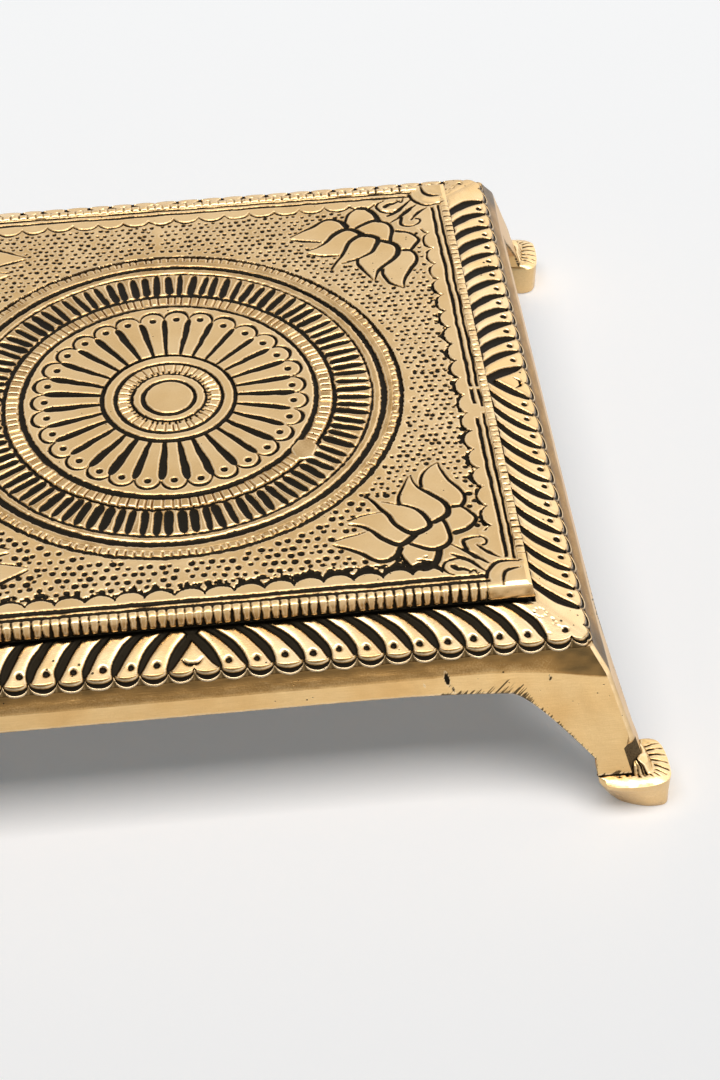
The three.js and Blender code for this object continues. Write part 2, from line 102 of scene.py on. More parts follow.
@dataclass
class HandNoise:
    """Seeded smooth unevenness, as a hand and a mould leave it."""

    seed: int
    across: int = 97
    lattice: Array = field(init=False)

    def __post_init__(self) -> None:
        """Draws the lattice."""
        self.lattice = np.random.default_rng(self.seed).uniform(-1.0, 1.0, (self.across, self.across))

    def at(self, x: Array, y: Array, pitch: float) -> Array:
        """Unevenness at points of a plane.

        Args:
            x: first places.
            y: second places.
            pitch: distance between two lumps.

        Returns:
            Values from -1 to 1.
        """
        x, y = np.broadcast_arrays(x, y)
        u, v = x / pitch + 31.7, y / pitch + 47.3
        i, j = np.floor(u).astype(int), np.floor(v).astype(int)
        s, t = eased(u - i), eased(v - j)
        grid, n = self.lattice, self.across
        low = grid[i % n, j % n] * (1 - s) + grid[(i + 1) % n, j % n] * s
        high = grid[i % n, (j + 1) % n] * (1 - s) + grid[(i + 1) % n, (j + 1) % n] * s
        return low * (1 - t) + high * t


def flowing(points: Points, steps: int = 5) -> Array:
    """Smooth line through a few points.

    Args:
        points: the points that the line passes.
        steps: parts between two of them.

    Returns:
        The line's points, one a row.
    """
    p = np.array(points, float)
    if len(p) < 3:
        return p
    ends = np.vstack([2 * p[0] - p[1], p, 2 * p[-1] - p[-2]])
    parts = []
    for n in range(len(p) - 1):
        a, b, c, d = ends[n : n + 4]
        t = np.linspace(0, 1, steps, endpoint=False)[:, None]
        parts.append(0.5 * (2 * b + (c - a) * t + (2 * a - 5 * b + 4 * c - d) * t**2
                            + (3 * b - a - 3 * c + d) * t**3))
    return np.vstack(parts + [p[-1:]])


def inside(x: Array, y: Array, outline: Array) -> Array:
    """Tells which points lie inside a closed outline.

    Args:
        x: first places.
        y: second places.
        outline: corners of the outline, one a row.

    Returns:
        True where a point is inside.
    """
    found = np.zeros(x.shape, bool)
    for (x0, y0), (x1, y1) in zip(outline, np.roll(outline, -1, axis=0)):
        if y0 == y1:
            continue
        cross = (y0 > y) != (y1 > y)
        found ^= cross & (x < (x1 - x0) * (y - y0) / (y1 - y0) + x0)
    return found


@dataclass
class Chasing:
    """Distance of each point of a surface to the nearest cut's edge, below zero in the cut."""

    u: Array
    v: Array
    clear: Array = field(init=False)

    def __post_init__(self) -> None:
        """Starts with no cut near."""
        self.clear = np.full(self.u.shape, FAR)

    def cut(self, distance: Array) -> None:
        """Adds a cut by its distance field."""
        self.clear = np.minimum(self.clear, distance)

    def stroke(self, line: Array, widths: Sequence[float]) -> None:
        """Cuts a stroke along a line.

        Args:
            line: points of the line, one a row.
            widths: full widths from start to end, spread evenly along it.
        """
        at = np.linspace(0, 1, len(widths))
        half = np.interp(np.linspace(0, 1, len(line)), at, widths) / 2
        reach = float(half.max()) + 1.5
        near = ((self.u > line[:, 0].min() - reach) & (self.u < line[:, 0].max() + reach)
                & (self.v > line[:, 1].min() - reach) & (self.v < line[:, 1].max() + reach))
        if not near.any():
            return
        u, v = self.u[near], self.v[near]
        best = np.full(u.shape, FAR)
        for n in range(len(line) - 1):
            (x0, y0), (x1, y1) = line[n], line[n + 1]
            dx, dy = x1 - x0, y1 - y0
            t = np.clip(((u - x0) * dx + (v - y0) * dy) / (dx * dx + dy * dy + 1e-9), 0, 1)
            gap = np.hypot(u - x0 - t * dx, v - y0 - t * dy)
            best = np.minimum(best, gap - (half[n] * (1 - t) + half[n + 1] * t))
        self.clear[near] = np.minimum(self.clear[near], best)

    def dot(self, x: float, y: float, radius: float) -> None:
        """Punches one round dot."""
        near = (np.abs(self.u - x) < radius + 1.5) & (np.abs(self.v - y) < radius + 1.5)
        gap = np.hypot(self.u[near] - x, self.v[near] - y) - radius
        self.clear[near] = np.minimum(self.clear[near], gap)


def sunk(clear: Array, depth: float, wall: float = 0.4, shoulder: float = 0.5, roll: float = 0.12) -> Array:
    """Depth of a chased surface below its face.

    Args:
        clear: distance to the nearest cut's edge.
        depth: full depth of the cuts.
        wall: width of a cut's side wall.
        shoulder: width of the rounded edge beside a cut.
        roll: drop of that rounded edge.

    Returns:
        The depth at each point.
    """
    rounded = roll * np.clip(1 - clear / shoulder, 0, 1) ** 2
    inner = (depth - roll) * eased(-clear / wall)
    return np.where(clear > 0, rounded, roll + inner)


class Draft:
    """Points, faces and marks of one piece before it becomes an object."""

    def __init__(self) -> None:
        """Starts empty."""
        self.points: list[Array] = []
        self.cuts: list[Array] = []
        self.grain: list[Array] = []
        self.soil: list[Array] = []
        self.faces: list[list[int]] = []
        self.count = 0

    def add(self, x: Array, y: Array, z: Array, cut: Optional[Array] = None,
            grain: Optional[tuple[Array, Array]] = None, soil: Optional[Array] = None) -> Array:
        """Adds points.

        Args:
            x: places to the right.
            y: places to the back.
            z: heights.
            cut: distance to the nearest cut's edge at each point.
            grain: places along and across the polishing marks.
            soil: share of brown residue and of painted shade.

        Returns:
            The points' numbers, in the shape of x.
        """
        shape = np.broadcast(x, y, z).shape
        place = np.stack([np.broadcast_to(c, shape).ravel() for c in (x, y, z)], 1)
        self.points.append(place)
        self.cuts.append(np.broadcast_to(FAR if cut is None else cut, shape).ravel())
        self.soil.append(np.broadcast_to(0.0 if soil is None else soil, shape).ravel())
        lay = [np.broadcast_to(c, shape).ravel() for c in ((x, y) if grain is None else grain)]
        self.grain.append(np.stack([*lay, place[:, 2]], 1))
        numbers = np.arange(self.count, self.count + len(place)).reshape(shape)
        self.count += len(place)
        return numbers

    def weave(self, ids: Array, round_rows: bool = False, round_columns: bool = False,
              keep: Optional[Array] = None) -> None:
        """Fills a lattice of points with four-sided faces.

        Args:
            ids: point numbers in rows and columns.
            round_rows: joins the last row to the first.
            round_columns: joins the last column to the first.
            keep: which faces are wanted, in the lattice's order.
        """
        if round_rows:
            ids = np.vstack([ids, ids[:1]])
        if round_columns:
            ids = np.hstack([ids, ids[:, :1]])
        quads = np.stack([ids[:-1, :-1], ids[:-1, 1:], ids[1:, 1:], ids[1:, :-1]], -1)
        quads = quads[keep] if keep is not None else quads.reshape(-1, 4)
        self.faces.extend(quads.reshape(-1, 4).tolist())

    def cap(self, ids: Array) -> None:
        """Closes a ring of points with one face."""
        self.faces.append([int(n) for n in ids])

    def tube(self, ids: Array, name: str, sharp: float = 60.0, by_column: bool = False) -> Thing:
        """Joins rings of points, closes both ends and makes the object.

        Args:
            ids: point numbers, one ring a row.
            name: name of the piece.
            sharp: edges that bend more than this many degrees stay crisp.
            by_column: the rings are the columns instead.

        Returns:
            The new object, linked to the scene.
        """
        self.weave(ids, round_rows=by_column, round_columns=not by_column)
        for end in (0, -1):
            self.cap(ids[:, end] if by_column else ids[end])
        return self.piece(name, sharp)

    def piece(self, name: str, sharp: float = 60.0) -> Thing:
        """Makes the object.

        Args:
            name: name of the piece.
            sharp: edges that bend more than this many degrees stay crisp.

        Returns:
            The new object, linked to the scene.
        """
        place = np.vstack(self.points)
        cuts, grain, soil = np.concatenate(self.cuts), np.vstack(self.grain), np.concatenate(self.soil)
        used = np.zeros(len(place), bool)
        used[np.concatenate([np.array(f) for f in self.faces])] = True
        renumber = np.cumsum(used) - 1
        faces = [[int(renumber[n]) for n in f] for f in self.faces]
        mesh = bpy.data.meshes.new(name)
        mesh.from_pydata((place[used] * MM).tolist(), [], faces)
        bm = bmesh.new()
        bm.from_mesh(mesh)
        bmesh.ops.recalc_face_normals(bm, faces=bm.faces)
        bm.to_mesh(mesh)
        bm.free()
        mesh.shade_smooth()
        mesh.set_sharp_from_angle(angle=math.radians(sharp))
        mark(mesh, cuts[used], grain[used], soil[used])
        thing = bpy.data.objects.new(name, mesh)
        bpy.context.scene.collection.objects.link(thing)
        return thing


def mark(mesh: bpy.types.Mesh, cuts: Array, grain: Array, soil: Array) -> None:
    """Writes the marks that the finishes read.

    Args:
        mesh: the mesh.
        cuts: distance of each point to the nearest cut's edge.
        grain: place of each point along and across the polishing marks.
        soil: share of brown residue and of painted shade at each point.
    """
    mesh.attributes.new("cut", "FLOAT", "POINT").data.foreach_set("value", cuts.astype(np.float32))
    mesh.attributes.new("soil", "FLOAT", "POINT").data.foreach_set("value", soil.astype(np.float32))
    lay = mesh.attributes.new("grain", "FLOAT_VECTOR", "POINT")
    lay.data.foreach_set("vector", grain.astype(np.float32).ravel())


class Wiring:
    """Places and joins shader nodes in one tree."""

    def __init__(self, tree: bpy.types.NodeTree) -> None:
        """Takes the tree to work in."""
        self.tree = tree

    def node(self, kind: str, **settings: object) -> bpy.types.Node:
        """Adds a node and sets its options.

        Args:
            kind: type of the node.
            settings: options by name.

        Returns:
            The node.
        """
        made = self.tree.nodes.new(kind)
        for name, value in settings.items():
            setattr(made, name, value)
        return made

    def feed(self, socket: Socket, source: object) -> None:
        """Joins a socket to another socket, or sets it to a value."""
        if isinstance(source, bpy.types.NodeSocket):
            self.tree.links.new(source, socket)
        else:
            socket.default_value = source

    def math(self, way: str, a: object, b: object = 0.0, clamp: bool = False) -> Socket:
        """Works out one value from two.

        Args:
            way: name of the operation.
            a: first value or socket.
            b: second value or socket.
            clamp: keeps the result between 0 and 1.

        Returns:
            The result's socket.
        """
        made = self.node("ShaderNodeMath", operation=way, use_clamp=clamp)
        self.feed(made.inputs[0], a)
        self.feed(made.inputs[1], b)
        return made.outputs[0]

    def span(self, value: object, low: float, high: float, to_low: float = 0.0,
             to_high: float = 1.0) -> Socket:
        """Maps one range of values smoothly to another.

        Args:
            value: the value's socket.
            low: start of its range.
            high: end of its range.
            to_low: result at the start.
            to_high: result at the end.

        Returns:
            The result's socket.
        """
        made = self.node("ShaderNodeMapRange", interpolation_type="SMOOTHSTEP")
        for n, source in enumerate((value, low, high, to_low, to_high)):
            self.feed(made.inputs[n], source)
        return made.outputs[0]

    def mixed(self, share: object, a: object, b: object) -> Socket:
        """Mixes two colours.

        Args:
            share: how much of the second.
            a: first colour.
            b: second colour.

        Returns:
            The colour's socket.
        """
        made = self.node("ShaderNodeMix", data_type="RGBA")
        self.feed(made.inputs[0], share)
        self.feed(made.inputs[6], a)
        self.feed(made.inputs[7], b)
        return made.outputs[2]

    def split(self, place: Socket) -> Sequence[Socket]:
        """Splits a place into its three parts."""
        made = self.node("ShaderNodeSeparateXYZ")
        self.feed(made.inputs[0], place)
        return made.outputs

    def stretched(self, place: object, factors: Triple) -> Socket:
        """Multiplies a place's three parts, each by its own factor."""
        made = self.node("ShaderNodeVectorMath", operation="MULTIPLY")
        self.feed(made.inputs[0], place)
        made.inputs[1].default_value = factors
        return made.outputs[0]

    def attribute(self, name: str, output: str = "Fac") -> Socket:
        """Reads one of the marks written on the mesh."""
        return self.node("ShaderNodeAttribute", attribute_name=name).outputs[output]

    def grains(self, place: object, scale: float, detail: float = 2.0, rough: float = 0.5) -> Socket:
        """Soft noise about one half.

        Args:
            place: socket of the place, in millimetres.
            scale: lumps in a millimetre.
            detail: number of finer layers.
            rough: strength of the finer layers.

        Returns:
            The value's socket.
        """
        made = self.node("ShaderNodeTexNoise")
        self.feed(made.inputs["Vector"], place)
        made.inputs["Scale"].default_value = scale
        made.inputs["Detail"].default_value = detail
        made.inputs["Roughness"].default_value = rough
        return made.outputs["Fac"]


@dataclass(frozen=True)
class Effect:
    """A shared surface effect: a node group with named inputs and outputs."""

    name: str
    inputs: tuple[tuple[str, str, float], ...]
    outputs: tuple[str, ...]
    wire: Callable[[Wiring, dict, dict], None]

    def tree(self) -> bpy.types.NodeTree:
        """Gives the group, and builds it the first time."""
        found = bpy.data.node_groups.get(self.name)
        if found:
            return found
        group = bpy.data.node_groups.new(self.name, "ShaderNodeTree")
        for name, kind, value in self.inputs:
            socket = group.interface.new_socket(name, in_out="INPUT", socket_type=kind)
            if kind == "NodeSocketFloat":
                socket.default_value = value
        for name in self.outputs:
            group.interface.new_socket(name, in_out="OUTPUT", socket_type="NodeSocketFloat")
        wiring = Wiring(group)
        start, end = wiring.node("NodeGroupInput"), wiring.node("NodeGroupOutput")
        self.wire(wiring, {s.name: s for s in start.outputs}, {s.name: s for s in end.inputs})
        return group

    def place(self, wiring: Wiring, **values: object) -> dict[str, Socket]:
        """Sets the group into a material.

        Args:
            wiring: the material's wiring.
            values: inputs by name, with _ for a space.

        Returns:
            The group's outputs by name.
        """
        made = wiring.node("ShaderNodeGroup", node_tree=self.tree())
        for name, value in values.items():
            wiring.feed(made.inputs[name.replace("_", " ")], value)
        return {s.name: s for s in made.outputs}


def wire_patina(w: Wiring, start: dict, end: dict) -> None:
    """Black patina that fills the cuts up to an uneven edge, with a rubbed brown fringe, and a light band on
    each cut's shoulder that is partly wear and partly a painted highlight.
    """
    ragged = w.math("SUBTRACT", w.grains(start["Place"], 1.5, 3.0, 0.6), 0.5)
    edge = w.math("ADD", start["Cut"], w.math("MULTIPLY", ragged, start["Ragged"]))
    w.feed(end["Black"], w.span(edge, -0.12, 0.07, 1.0, 0.0))
    w.feed(end["Fringe"], w.span(edge, -0.05, 0.5, 1.0, 0.0))
    # The light band beside each cut: partly wear, partly a painted highlight.
    rise, fall = w.span(edge, 0.1, 0.25), w.span(edge, 0.3, 0.6, 1.0, 0.0)
    w.feed(end["Worn Edge"], w.math("MULTIPLY", rise, fall))


def wire_pits(w: Wiring, start: dict, end: dict) -> None:
    """Small casting pits, in loose patches."""
    cells = w.node("ShaderNodeTexVoronoi", feature="F1")
    w.feed(cells.inputs["Vector"], start["Place"])
    cells.inputs["Scale"].default_value = 0.62
    size = w.node("ShaderNodeSeparateColor")
    w.feed(size.inputs[0], cells.outputs["Color"])
    radius = w.math("MULTIPLY", w.span(size.outputs[0], 0.55, 1.0, 0.0, 0.2), start["Amount"])
    patch = w.span(w.grains(start["Place"], 0.05, 2.0), 0.42, 0.62, 0.25, 1.0)
    hole = w.math("SUBTRACT", cells.outputs["Distance"], w.math("MULTIPLY", radius, patch))
    w.feed(end["Pit"], w.span(hole, -0.05, 0.03, 1.0, 0.0))


def wire_brush(w: Wiring, start: dict, end: dict) -> None:
    """Fine marks of a polishing brush that run along the grain."""
    fine = w.grains(w.stretched(start["Lay"], (0.12, 2.6, 2.6)), 1.6, 3.0, 0.65)
    broad = w.grains(w.stretched(start["Lay"], (0.03, 0.5, 0.5)), 1.0, 2.0)
    w.feed(end["Height"], w.math("ADD", w.math("MULTIPLY", fine, 0.7), w.math("MULTIPLY", broad, 0.6)))
    w.feed(end["Tone"], w.span(fine, 0.3, 0.7))


def wire_drift(w: Wiring, start: dict, end: dict) -> None:
    """Slow change of tone over the metal, and soft dents from casting and filing."""
    w.feed(end["Tone"], w.span(w.grains(start["Place"], 0.035, 3.0, 0.6), 0.32, 0.68))
    w.feed(end["Dent"], w.grains(start["Place"], 0.22, 2.0, 0.5))
    w.feed(end["Speckle"], w.grains(start["Place"], 2.4, 2.0, 0.6))


def wire_hatch(w: Wiring, start: dict, end: dict) -> None:
    """Short dark file marks that stand on the lower edge of a side, densest at the arch's bend."""
    x, y, z = w.split(start["Place"])
    reach = w.math("MINIMUM", w.math("ABSOLUTE", x), w.math("ABSOLUTE", y))
    along = w.node("ShaderNodeCombineXYZ")
    w.feed(along.inputs[0], w.math("MULTIPLY", w.math("SUBTRACT", reach, z), 1.25))
    w.feed(along.inputs[1], w.math("MULTIPLY", reach, 0.05))
    bend = w.span(w.math("ABSOLUTE", w.math("SUBTRACT", reach, 80.5)), 0.5, 9.0, 4.4, 1.3)
    length = w.span(w.grains(along.outputs[0], 1.0, 2.0, 0.6), 0.43, 0.66)
    length = w.math("MULTIPLY", w.math("MULTIPLY", length, bend), w.span(reach, 58.0, 70.0, 0.12, 1.0))
    w.feed(end["Mark"], w.span(w.math("SUBTRACT", start["Cut"], length), -0.25, 0.05, 1.0, 0.0))


PATINA = Effect("black_patina", (("Place", "NodeSocketVector", 0), ("Cut", "NodeSocketFloat", 9.0),
                ("Ragged", "NodeSocketFloat", 0.4)), ("Black", "Fringe", "Worn Edge"), wire_patina)
PITS = Effect("casting_pits", (("Place", "NodeSocketVector", 0), ("Amount", "NodeSocketFloat", 1.0)),
              ("Pit",), wire_pits)
BRUSH = Effect("brush_marks", (("Lay", "NodeSocketVector", 0),), ("Height", "Tone"), wire_brush)
HATCH = Effect("file_hatch", (("Place", "NodeSocketVector", 0), ("Cut", "NodeSocketFloat", 9.0)), ("Mark",),
               wire_hatch)
DRIFT = Effect("tone_drift", (("Place", "NodeSocketVector", 0),), ("Tone", "Dent", "Speckle"), wire_drift)


def opaque(colour: Colour) -> tuple[float, float, float, float]:
    """Colour with the full cover that a colour socket takes."""
    return (*colour, 1.0)


@dataclass(frozen=True)
class Brass:
    """One finish of the stool's brass."""

    name: str
    light: Colour = (0.87, 0.63, 0.34)
    deep: Colour = (0.76, 0.51, 0.235)
    brown: Colour = (0.36, 0.2, 0.065)
    black: Colour = (0.016, 0.0125, 0.008)
    streak: Colour = (0.62, 0.38, 0.14)
    # The next colour is a painted deep shade, for the cove, the lip's underside and the tongues' noses.
    grime: Colour = (0.085, 0.058, 0.026)
    worn: Colour = (0.97, 0.84, 0.6)
    crust: Colour = (0.048, 0.03, 0.014)
    roughness: float = 0.28
    pits: float = 1.0
    brushing: float = 0.25
    dents: float = 0.3
    ragged: float = 0.36
    raw_below: float = -5.0
    marked: bool = True
    filed: bool = False

    def material(self) -> bpy.types.Material:
        """Builds the finish, or finds it if it is there."""
        found = bpy.data.materials.get(self.name)
        if found:
            return found
        made = bpy.data.materials.new(self.name)
        made.use_nodes = True
        made.node_tree.nodes.clear()
        w = Wiring(made.node_tree)
        end, metal = w.node("ShaderNodeOutputMaterial"), w.node("ShaderNodeBsdfPrincipled")
        w.feed(end.inputs["Surface"], metal.outputs[0])
        scaled = w.node("ShaderNodeVectorMath", operation="SCALE")
        w.feed(scaled.inputs[0], w.node("ShaderNodeTexCoord").outputs["Object"])
        scaled.inputs["Scale"].default_value = 1.0 / MM
        place = scaled.outputs[0]
        raw = w.span(w.split(place)[2], self.raw_below - 0.7, self.raw_below + 0.7, 1.0, 0.0)
        drift = DRIFT.place(w, Place=place)
        pit = PITS.place(w, Place=place, Amount=self.pits)["Pit"]
        brush = BRUSH.place(w, Lay=w.attribute("grain", "Vector") if self.marked else place)
        tone, dark = self.tones(w, place, drift, pit, brush["Tone"])
        rusty = w.math("MULTIPLY", raw, w.span(drift["Speckle"], 0.3, 0.6, 1.0, 0.9))
        tone = w.mixed(dark, w.mixed(rusty, tone, opaque(self.crust)), opaque(self.black))
        w.feed(metal.inputs["Base Color"], tone)
        metal.inputs["Metallic"].default_value = 1.0
        rough = w.math("ADD", self.roughness, w.math("MULTIPLY", brush["Tone"], 0.05))
        rough = w.math("ADD", rough, w.math("MULTIPLY", w.math("MAXIMUM", dark, raw), 0.25))
        w.feed(metal.inputs["Roughness"], rough)
        relief = w.math("ADD", w.math("MULTIPLY", brush["Height"], self.brushing * 0.05),
                        w.math("MULTIPLY", drift["Dent"], self.dents * 0.35))
        relief = w.math("ADD", relief, w.math("MULTIPLY", drift["Speckle"], 0.022))
        bump = w.node("ShaderNodeBump")
        bump.inputs["Distance"].default_value = MM
        bump.inputs["Strength"].default_value = 1.0
        w.feed(bump.inputs["Height"], w.math("SUBTRACT", relief, w.math("MULTIPLY", pit, 0.12)))
        w.feed(metal.inputs["Normal"], bump.outputs[0])
        return made

    def tones(self, w: Wiring, place: Socket, drift: dict, pit: Socket,
              stroke: Socket) -> tuple[Socket, Socket]:
        """Colour of the metal before the black goes on, and where the black lies.

        Args:
            w: the material's wiring.
            place: the place in millimetres.
            drift: outputs of the drift effect.
            pit: where the casting pits are.
            stroke: tone of the brush marks.

        Returns:
            The colour's socket, and the black's share.
        """
        tone = w.mixed(drift["Tone"], opaque(self.light), opaque(self.deep))
        tone = w.mixed(w.math("MULTIPLY", stroke, 0.35 * self.brushing), tone, opaque(self.streak))
        tone = w.mixed(w.math("MULTIPLY", drift["Speckle"], 0.2), tone, opaque(self.brown))
        if not self.marked:
            return tone, pit
        cut, soil = w.attribute("cut"), w.attribute("soil")
        patina = PATINA.place(w, Place=place, Cut=cut, Ragged=self.ragged)
        # Brown where the mark says: residue in the hollows, and painted shade; past 1 it turns to the
        # near-black painted shade colour.
        residue = w.math("MULTIPLY", soil, w.math("ADD", 0.35, drift["Speckle"]), clamp=True)
        tone = w.mixed(residue, tone, opaque(self.brown))
        tone = w.mixed(w.span(soil, 1.0, 2.0, 0.0, 0.9), tone, opaque(self.grime))
        # Painted highlight mixed with wear: a light band along each cut's shoulder.
        tone = w.mixed(w.math("MULTIPLY", patina["Worn Edge"], 0.45), tone, opaque(self.worn))
        tone = w.mixed(w.math("MULTIPLY", patina["Fringe"], 0.74), tone, opaque(self.brown))
        dark = w.math("MAXIMUM", patina["Black"], w.math("MULTIPLY", pit, 0.9))
        if self.filed:
            mark = HATCH.place(w, Place=place, Cut=cut)["Mark"]
            dark = w.math("MAXIMUM", dark, w.math("MULTIPLY", mark, 0.85))
        return tone, dark


class Finish(Enum):
    """The stool's finishes."""

    CHASED = Brass("blackened_chasing")
    GADROONED = Brass("blackened_tongues", light=(0.9, 0.68, 0.4), roughness=0.25, pits=1.3)
    BRUSHED = Brass("brushed_sides", light=(0.86, 0.6, 0.29), deep=(0.76, 0.47, 0.19), roughness=0.33,
                    pits=0.9, brushing=1.0, filed=True)
    POLISHED = Brass("polished_feet", light=(0.92, 0.68, 0.36), deep=(0.8, 0.53, 0.22), roughness=0.27,
                     pits=0.5, brushing=0.5)
    POST = Brass("filed_posts", light=(0.9, 0.68, 0.4), roughness=0.33, pits=1.2, brushing=0.6,
                 raw_below=20.3)
    CAST = Brass("rough_casting", light=(0.5, 0.33, 0.15), deep=(0.34, 0.21, 0.09), roughness=0.5, pits=2.0,
                 dents=1.6)
    FIXING = Brass("dull_fixings", light=(0.55, 0.38, 0.18), deep=(0.42, 0.28, 0.13), roughness=0.42,
                   marked=False)

    def dress(self, thing: Thing) -> None:
        """Gives a piece this finish."""
        thing.data.materials.clear()
        thing.data.materials.append(self.value.material())


@dataclass
class Lotus:
    """Corner flower, drawn in shares of the ground's half width from the plate's middle."""

    width_gain: float = 1.12
    petal_shares: tuple = (
        ((0.845, 0.465), (0.85, 0.50), (0.87, 0.55), (0.90, 0.60), (0.91, 0.64), (0.895, 0.675), (0.86, 0.68),
         (0.83, 0.64), (0.78, 0.59), (0.782, 0.55), (0.80, 0.50)),
        ((0.745, 0.52), (0.76, 0.56), (0.78, 0.59), (0.83, 0.64), (0.85, 0.68), (0.84, 0.72), (0.80, 0.745),
         (0.785, 0.755), (0.775, 0.72), (0.75, 0.68), (0.70, 0.65), (0.70, 0.62), (0.72, 0.57)),
        ((0.61, 0.61), (0.645, 0.63), (0.70, 0.65), (0.75, 0.68), (0.775, 0.72), (0.785, 0.76), (0.76, 0.785),
         (0.73, 0.79), (0.71, 0.78), (0.68, 0.75), (0.66, 0.70), (0.64, 0.66)),
        ((0.53, 0.715), (0.58, 0.69), (0.64, 0.68), (0.66, 0.70), (0.68, 0.75), (0.71, 0.78), (0.725, 0.80),
         (0.70, 0.825), (0.67, 0.83), (0.63, 0.80), (0.60, 0.76), (0.57, 0.735)),
        ((0.475, 0.80), (0.52, 0.78), (0.58, 0.765), (0.60, 0.76), (0.63, 0.80), (0.67, 0.83), (0.68, 0.85),
         (0.665, 0.88), (0.635, 0.90), (0.60, 0.895), (0.56, 0.86), (0.51, 0.83)),
        ((0.86, 0.69), (0.89, 0.68), (0.915, 0.71), (0.93, 0.745), (0.90, 0.785), (0.86, 0.80), (0.84, 0.79),
         (0.83, 0.75), (0.84, 0.72)),
        ((0.80, 0.745), (0.825, 0.735), (0.84, 0.79), (0.84, 0.83), (0.82, 0.855), (0.78, 0.865),
         (0.74, 0.85),
         (0.715, 0.835), (0.73, 0.80), (0.76, 0.78)),
        ((0.68, 0.86), (0.69, 0.90), (0.71, 0.94), (0.75, 0.95), (0.785, 0.92), (0.795, 0.87), (0.74, 0.85),
         (0.705, 0.83)),
    )
    line_shares: tuple = (
        ((0.845, 0.465), (0.80, 0.50), (0.782, 0.545), (0.78, 0.575)),
        ((0.848, 0.468), (0.85, 0.50), (0.87, 0.55), (0.90, 0.60), (0.91, 0.64), (0.895, 0.675),
         (0.868, 0.682)),
        ((0.742, 0.525), (0.72, 0.57), (0.70, 0.62), (0.70, 0.65)),
        ((0.75, 0.52), (0.76, 0.56), (0.78, 0.59), (0.83, 0.64), (0.85, 0.68), (0.84, 0.72), (0.80, 0.745)),
        ((0.605, 0.605), (0.64, 0.66), (0.66, 0.70), (0.68, 0.75), (0.71, 0.78), (0.73, 0.79)),
        ((0.645, 0.63), (0.70, 0.65), (0.75, 0.68), (0.775, 0.72), (0.785, 0.76), (0.76, 0.78), (0.73, 0.79)),
        ((0.53, 0.705), (0.58, 0.685), (0.64, 0.678)),
        ((0.53, 0.725), (0.57, 0.735), (0.60, 0.76), (0.63, 0.80), (0.67, 0.83), (0.70, 0.825),
         (0.73, 0.795)),
        ((0.475, 0.795), (0.52, 0.78), (0.58, 0.765)),
        ((0.475, 0.81), (0.51, 0.83), (0.56, 0.86), (0.60, 0.895), (0.635, 0.90), (0.665, 0.88),
         (0.68, 0.85)),
        ((0.87, 0.685), (0.89, 0.68), (0.915, 0.71), (0.93, 0.745), (0.90, 0.785), (0.86, 0.80)),
        ((0.828, 0.74), (0.84, 0.79), (0.84, 0.83), (0.82, 0.855), (0.78, 0.868), (0.74, 0.85),
         (0.715, 0.835)),
        ((0.675, 0.86), (0.69, 0.91), (0.71, 0.94), (0.75, 0.955), (0.785, 0.92), (0.80, 0.865)),
    )
    width_shares: tuple = (
        (0.004, 0.01, 0.012), (0.005, 0.012, 0.012, 0.014), (0.004, 0.01, 0.012),
        (0.004, 0.012, 0.018, 0.017), (0.008, 0.012, 0.014, 0.02), (0.003, 0.011, 0.018, 0.02),
        (0.005, 0.008, 0.004), (0.005, 0.012, 0.018, 0.02), (0.004, 0.009, 0.005),
        (0.005, 0.012, 0.015, 0.02), (0.008, 0.011, 0.012, 0.018), (0.012, 0.014, 0.016, 0.012),
        (0.009, 0.01, 0.008, 0.02, 0.02),
    )

    def raised(self, a: Array, b: Array, half: float) -> Array:
        """Tells where the petals lie.

        Args:
            a: distances from the middle across.
            b: distances from the middle in depth.
            half: half width of the ground.

        Returns:
            True on a petal.
        """
        found = np.zeros(a.shape, bool)
        near = (a > 0.46 * half) & (b > 0.45 * half)
        for shares in self.petal_shares:
            outline = flowing(shares + shares[:1], 3)[:-1] * half
            found[near] |= inside(a[near], b[near], outline)
        return found

    def engrave(self, chasing: Chasing, half: float) -> None:
        """Cuts the petals' outlines."""
        for line, widths in zip(self.line_shares, self.width_shares):
            chasing.stroke(flowing(line) * half, [w * half * self.width_gain for w in widths])


@dataclass
class Scroll:
    """Small scrolls and rays between the flower and the corner boss, in the same shares."""

    line_shares: tuple = (
        ((0.885, 0.88), (0.878, 0.85), (0.88, 0.835), (0.895, 0.828), (0.92, 0.825), (0.94, 0.833),
         (0.95, 0.85),
         (0.945, 0.862), (0.935, 0.865)),
        ((0.918, 0.862), (0.94, 0.89), (0.96, 0.91), (0.982, 0.926)),
        ((0.84, 0.85), (0.88, 0.885), (0.905, 0.91), (0.945, 0.947)),
        ((0.835, 0.895), (0.86, 0.91), (0.89, 0.935), (0.93, 0.982)),
        ((0.855, 0.912), (0.83, 0.918), (0.81, 0.93), (0.80, 0.955), (0.81, 0.975), (0.83, 0.987)),
        ((0.832, 0.95), (0.845, 0.962), (0.865, 0.965), (0.888, 0.98)),
        ((0.88, 0.985), (0.895, 0.972), (0.905, 0.995)),
    )
    width_shares: tuple = (
        (0.013, 0.012, 0.007, 0.008, 0.009), (0.006, 0.014, 0.004), (0.004, 0.011, 0.018, 0.006),
        (0.009, 0.018, 0.006), (0.009, 0.01, 0.01, 0.005), (0.018, 0.016, 0.007), (0.006, 0.009, 0.004),
    )
    boss_shares: tuple = (
        ((0.93, 1.012), (0.937, 0.985), (0.955, 0.96), (0.975, 0.945), (1.0, 0.943), (1.045, 0.952)),
        ((0.975, 1.055), (0.98, 1.02), (0.99, 1.0), (1.01, 0.99), (1.035, 0.987)),
    )
    boss_width_shares: tuple = ((0.012, 0.014, 0.012, 0.005), (0.004, 0.013, 0.015, 0.004))

    def engrave(self, chasing: Chasing, half: float) -> None:
        """Cuts the scrolls and the boss's two arcs."""
        lines, all_widths = self.line_shares + self.boss_shares, self.width_shares + self.boss_width_shares
        for line, widths in zip(lines, all_widths):
            chasing.stroke(flowing(line) * half, [w * half for w in widths])


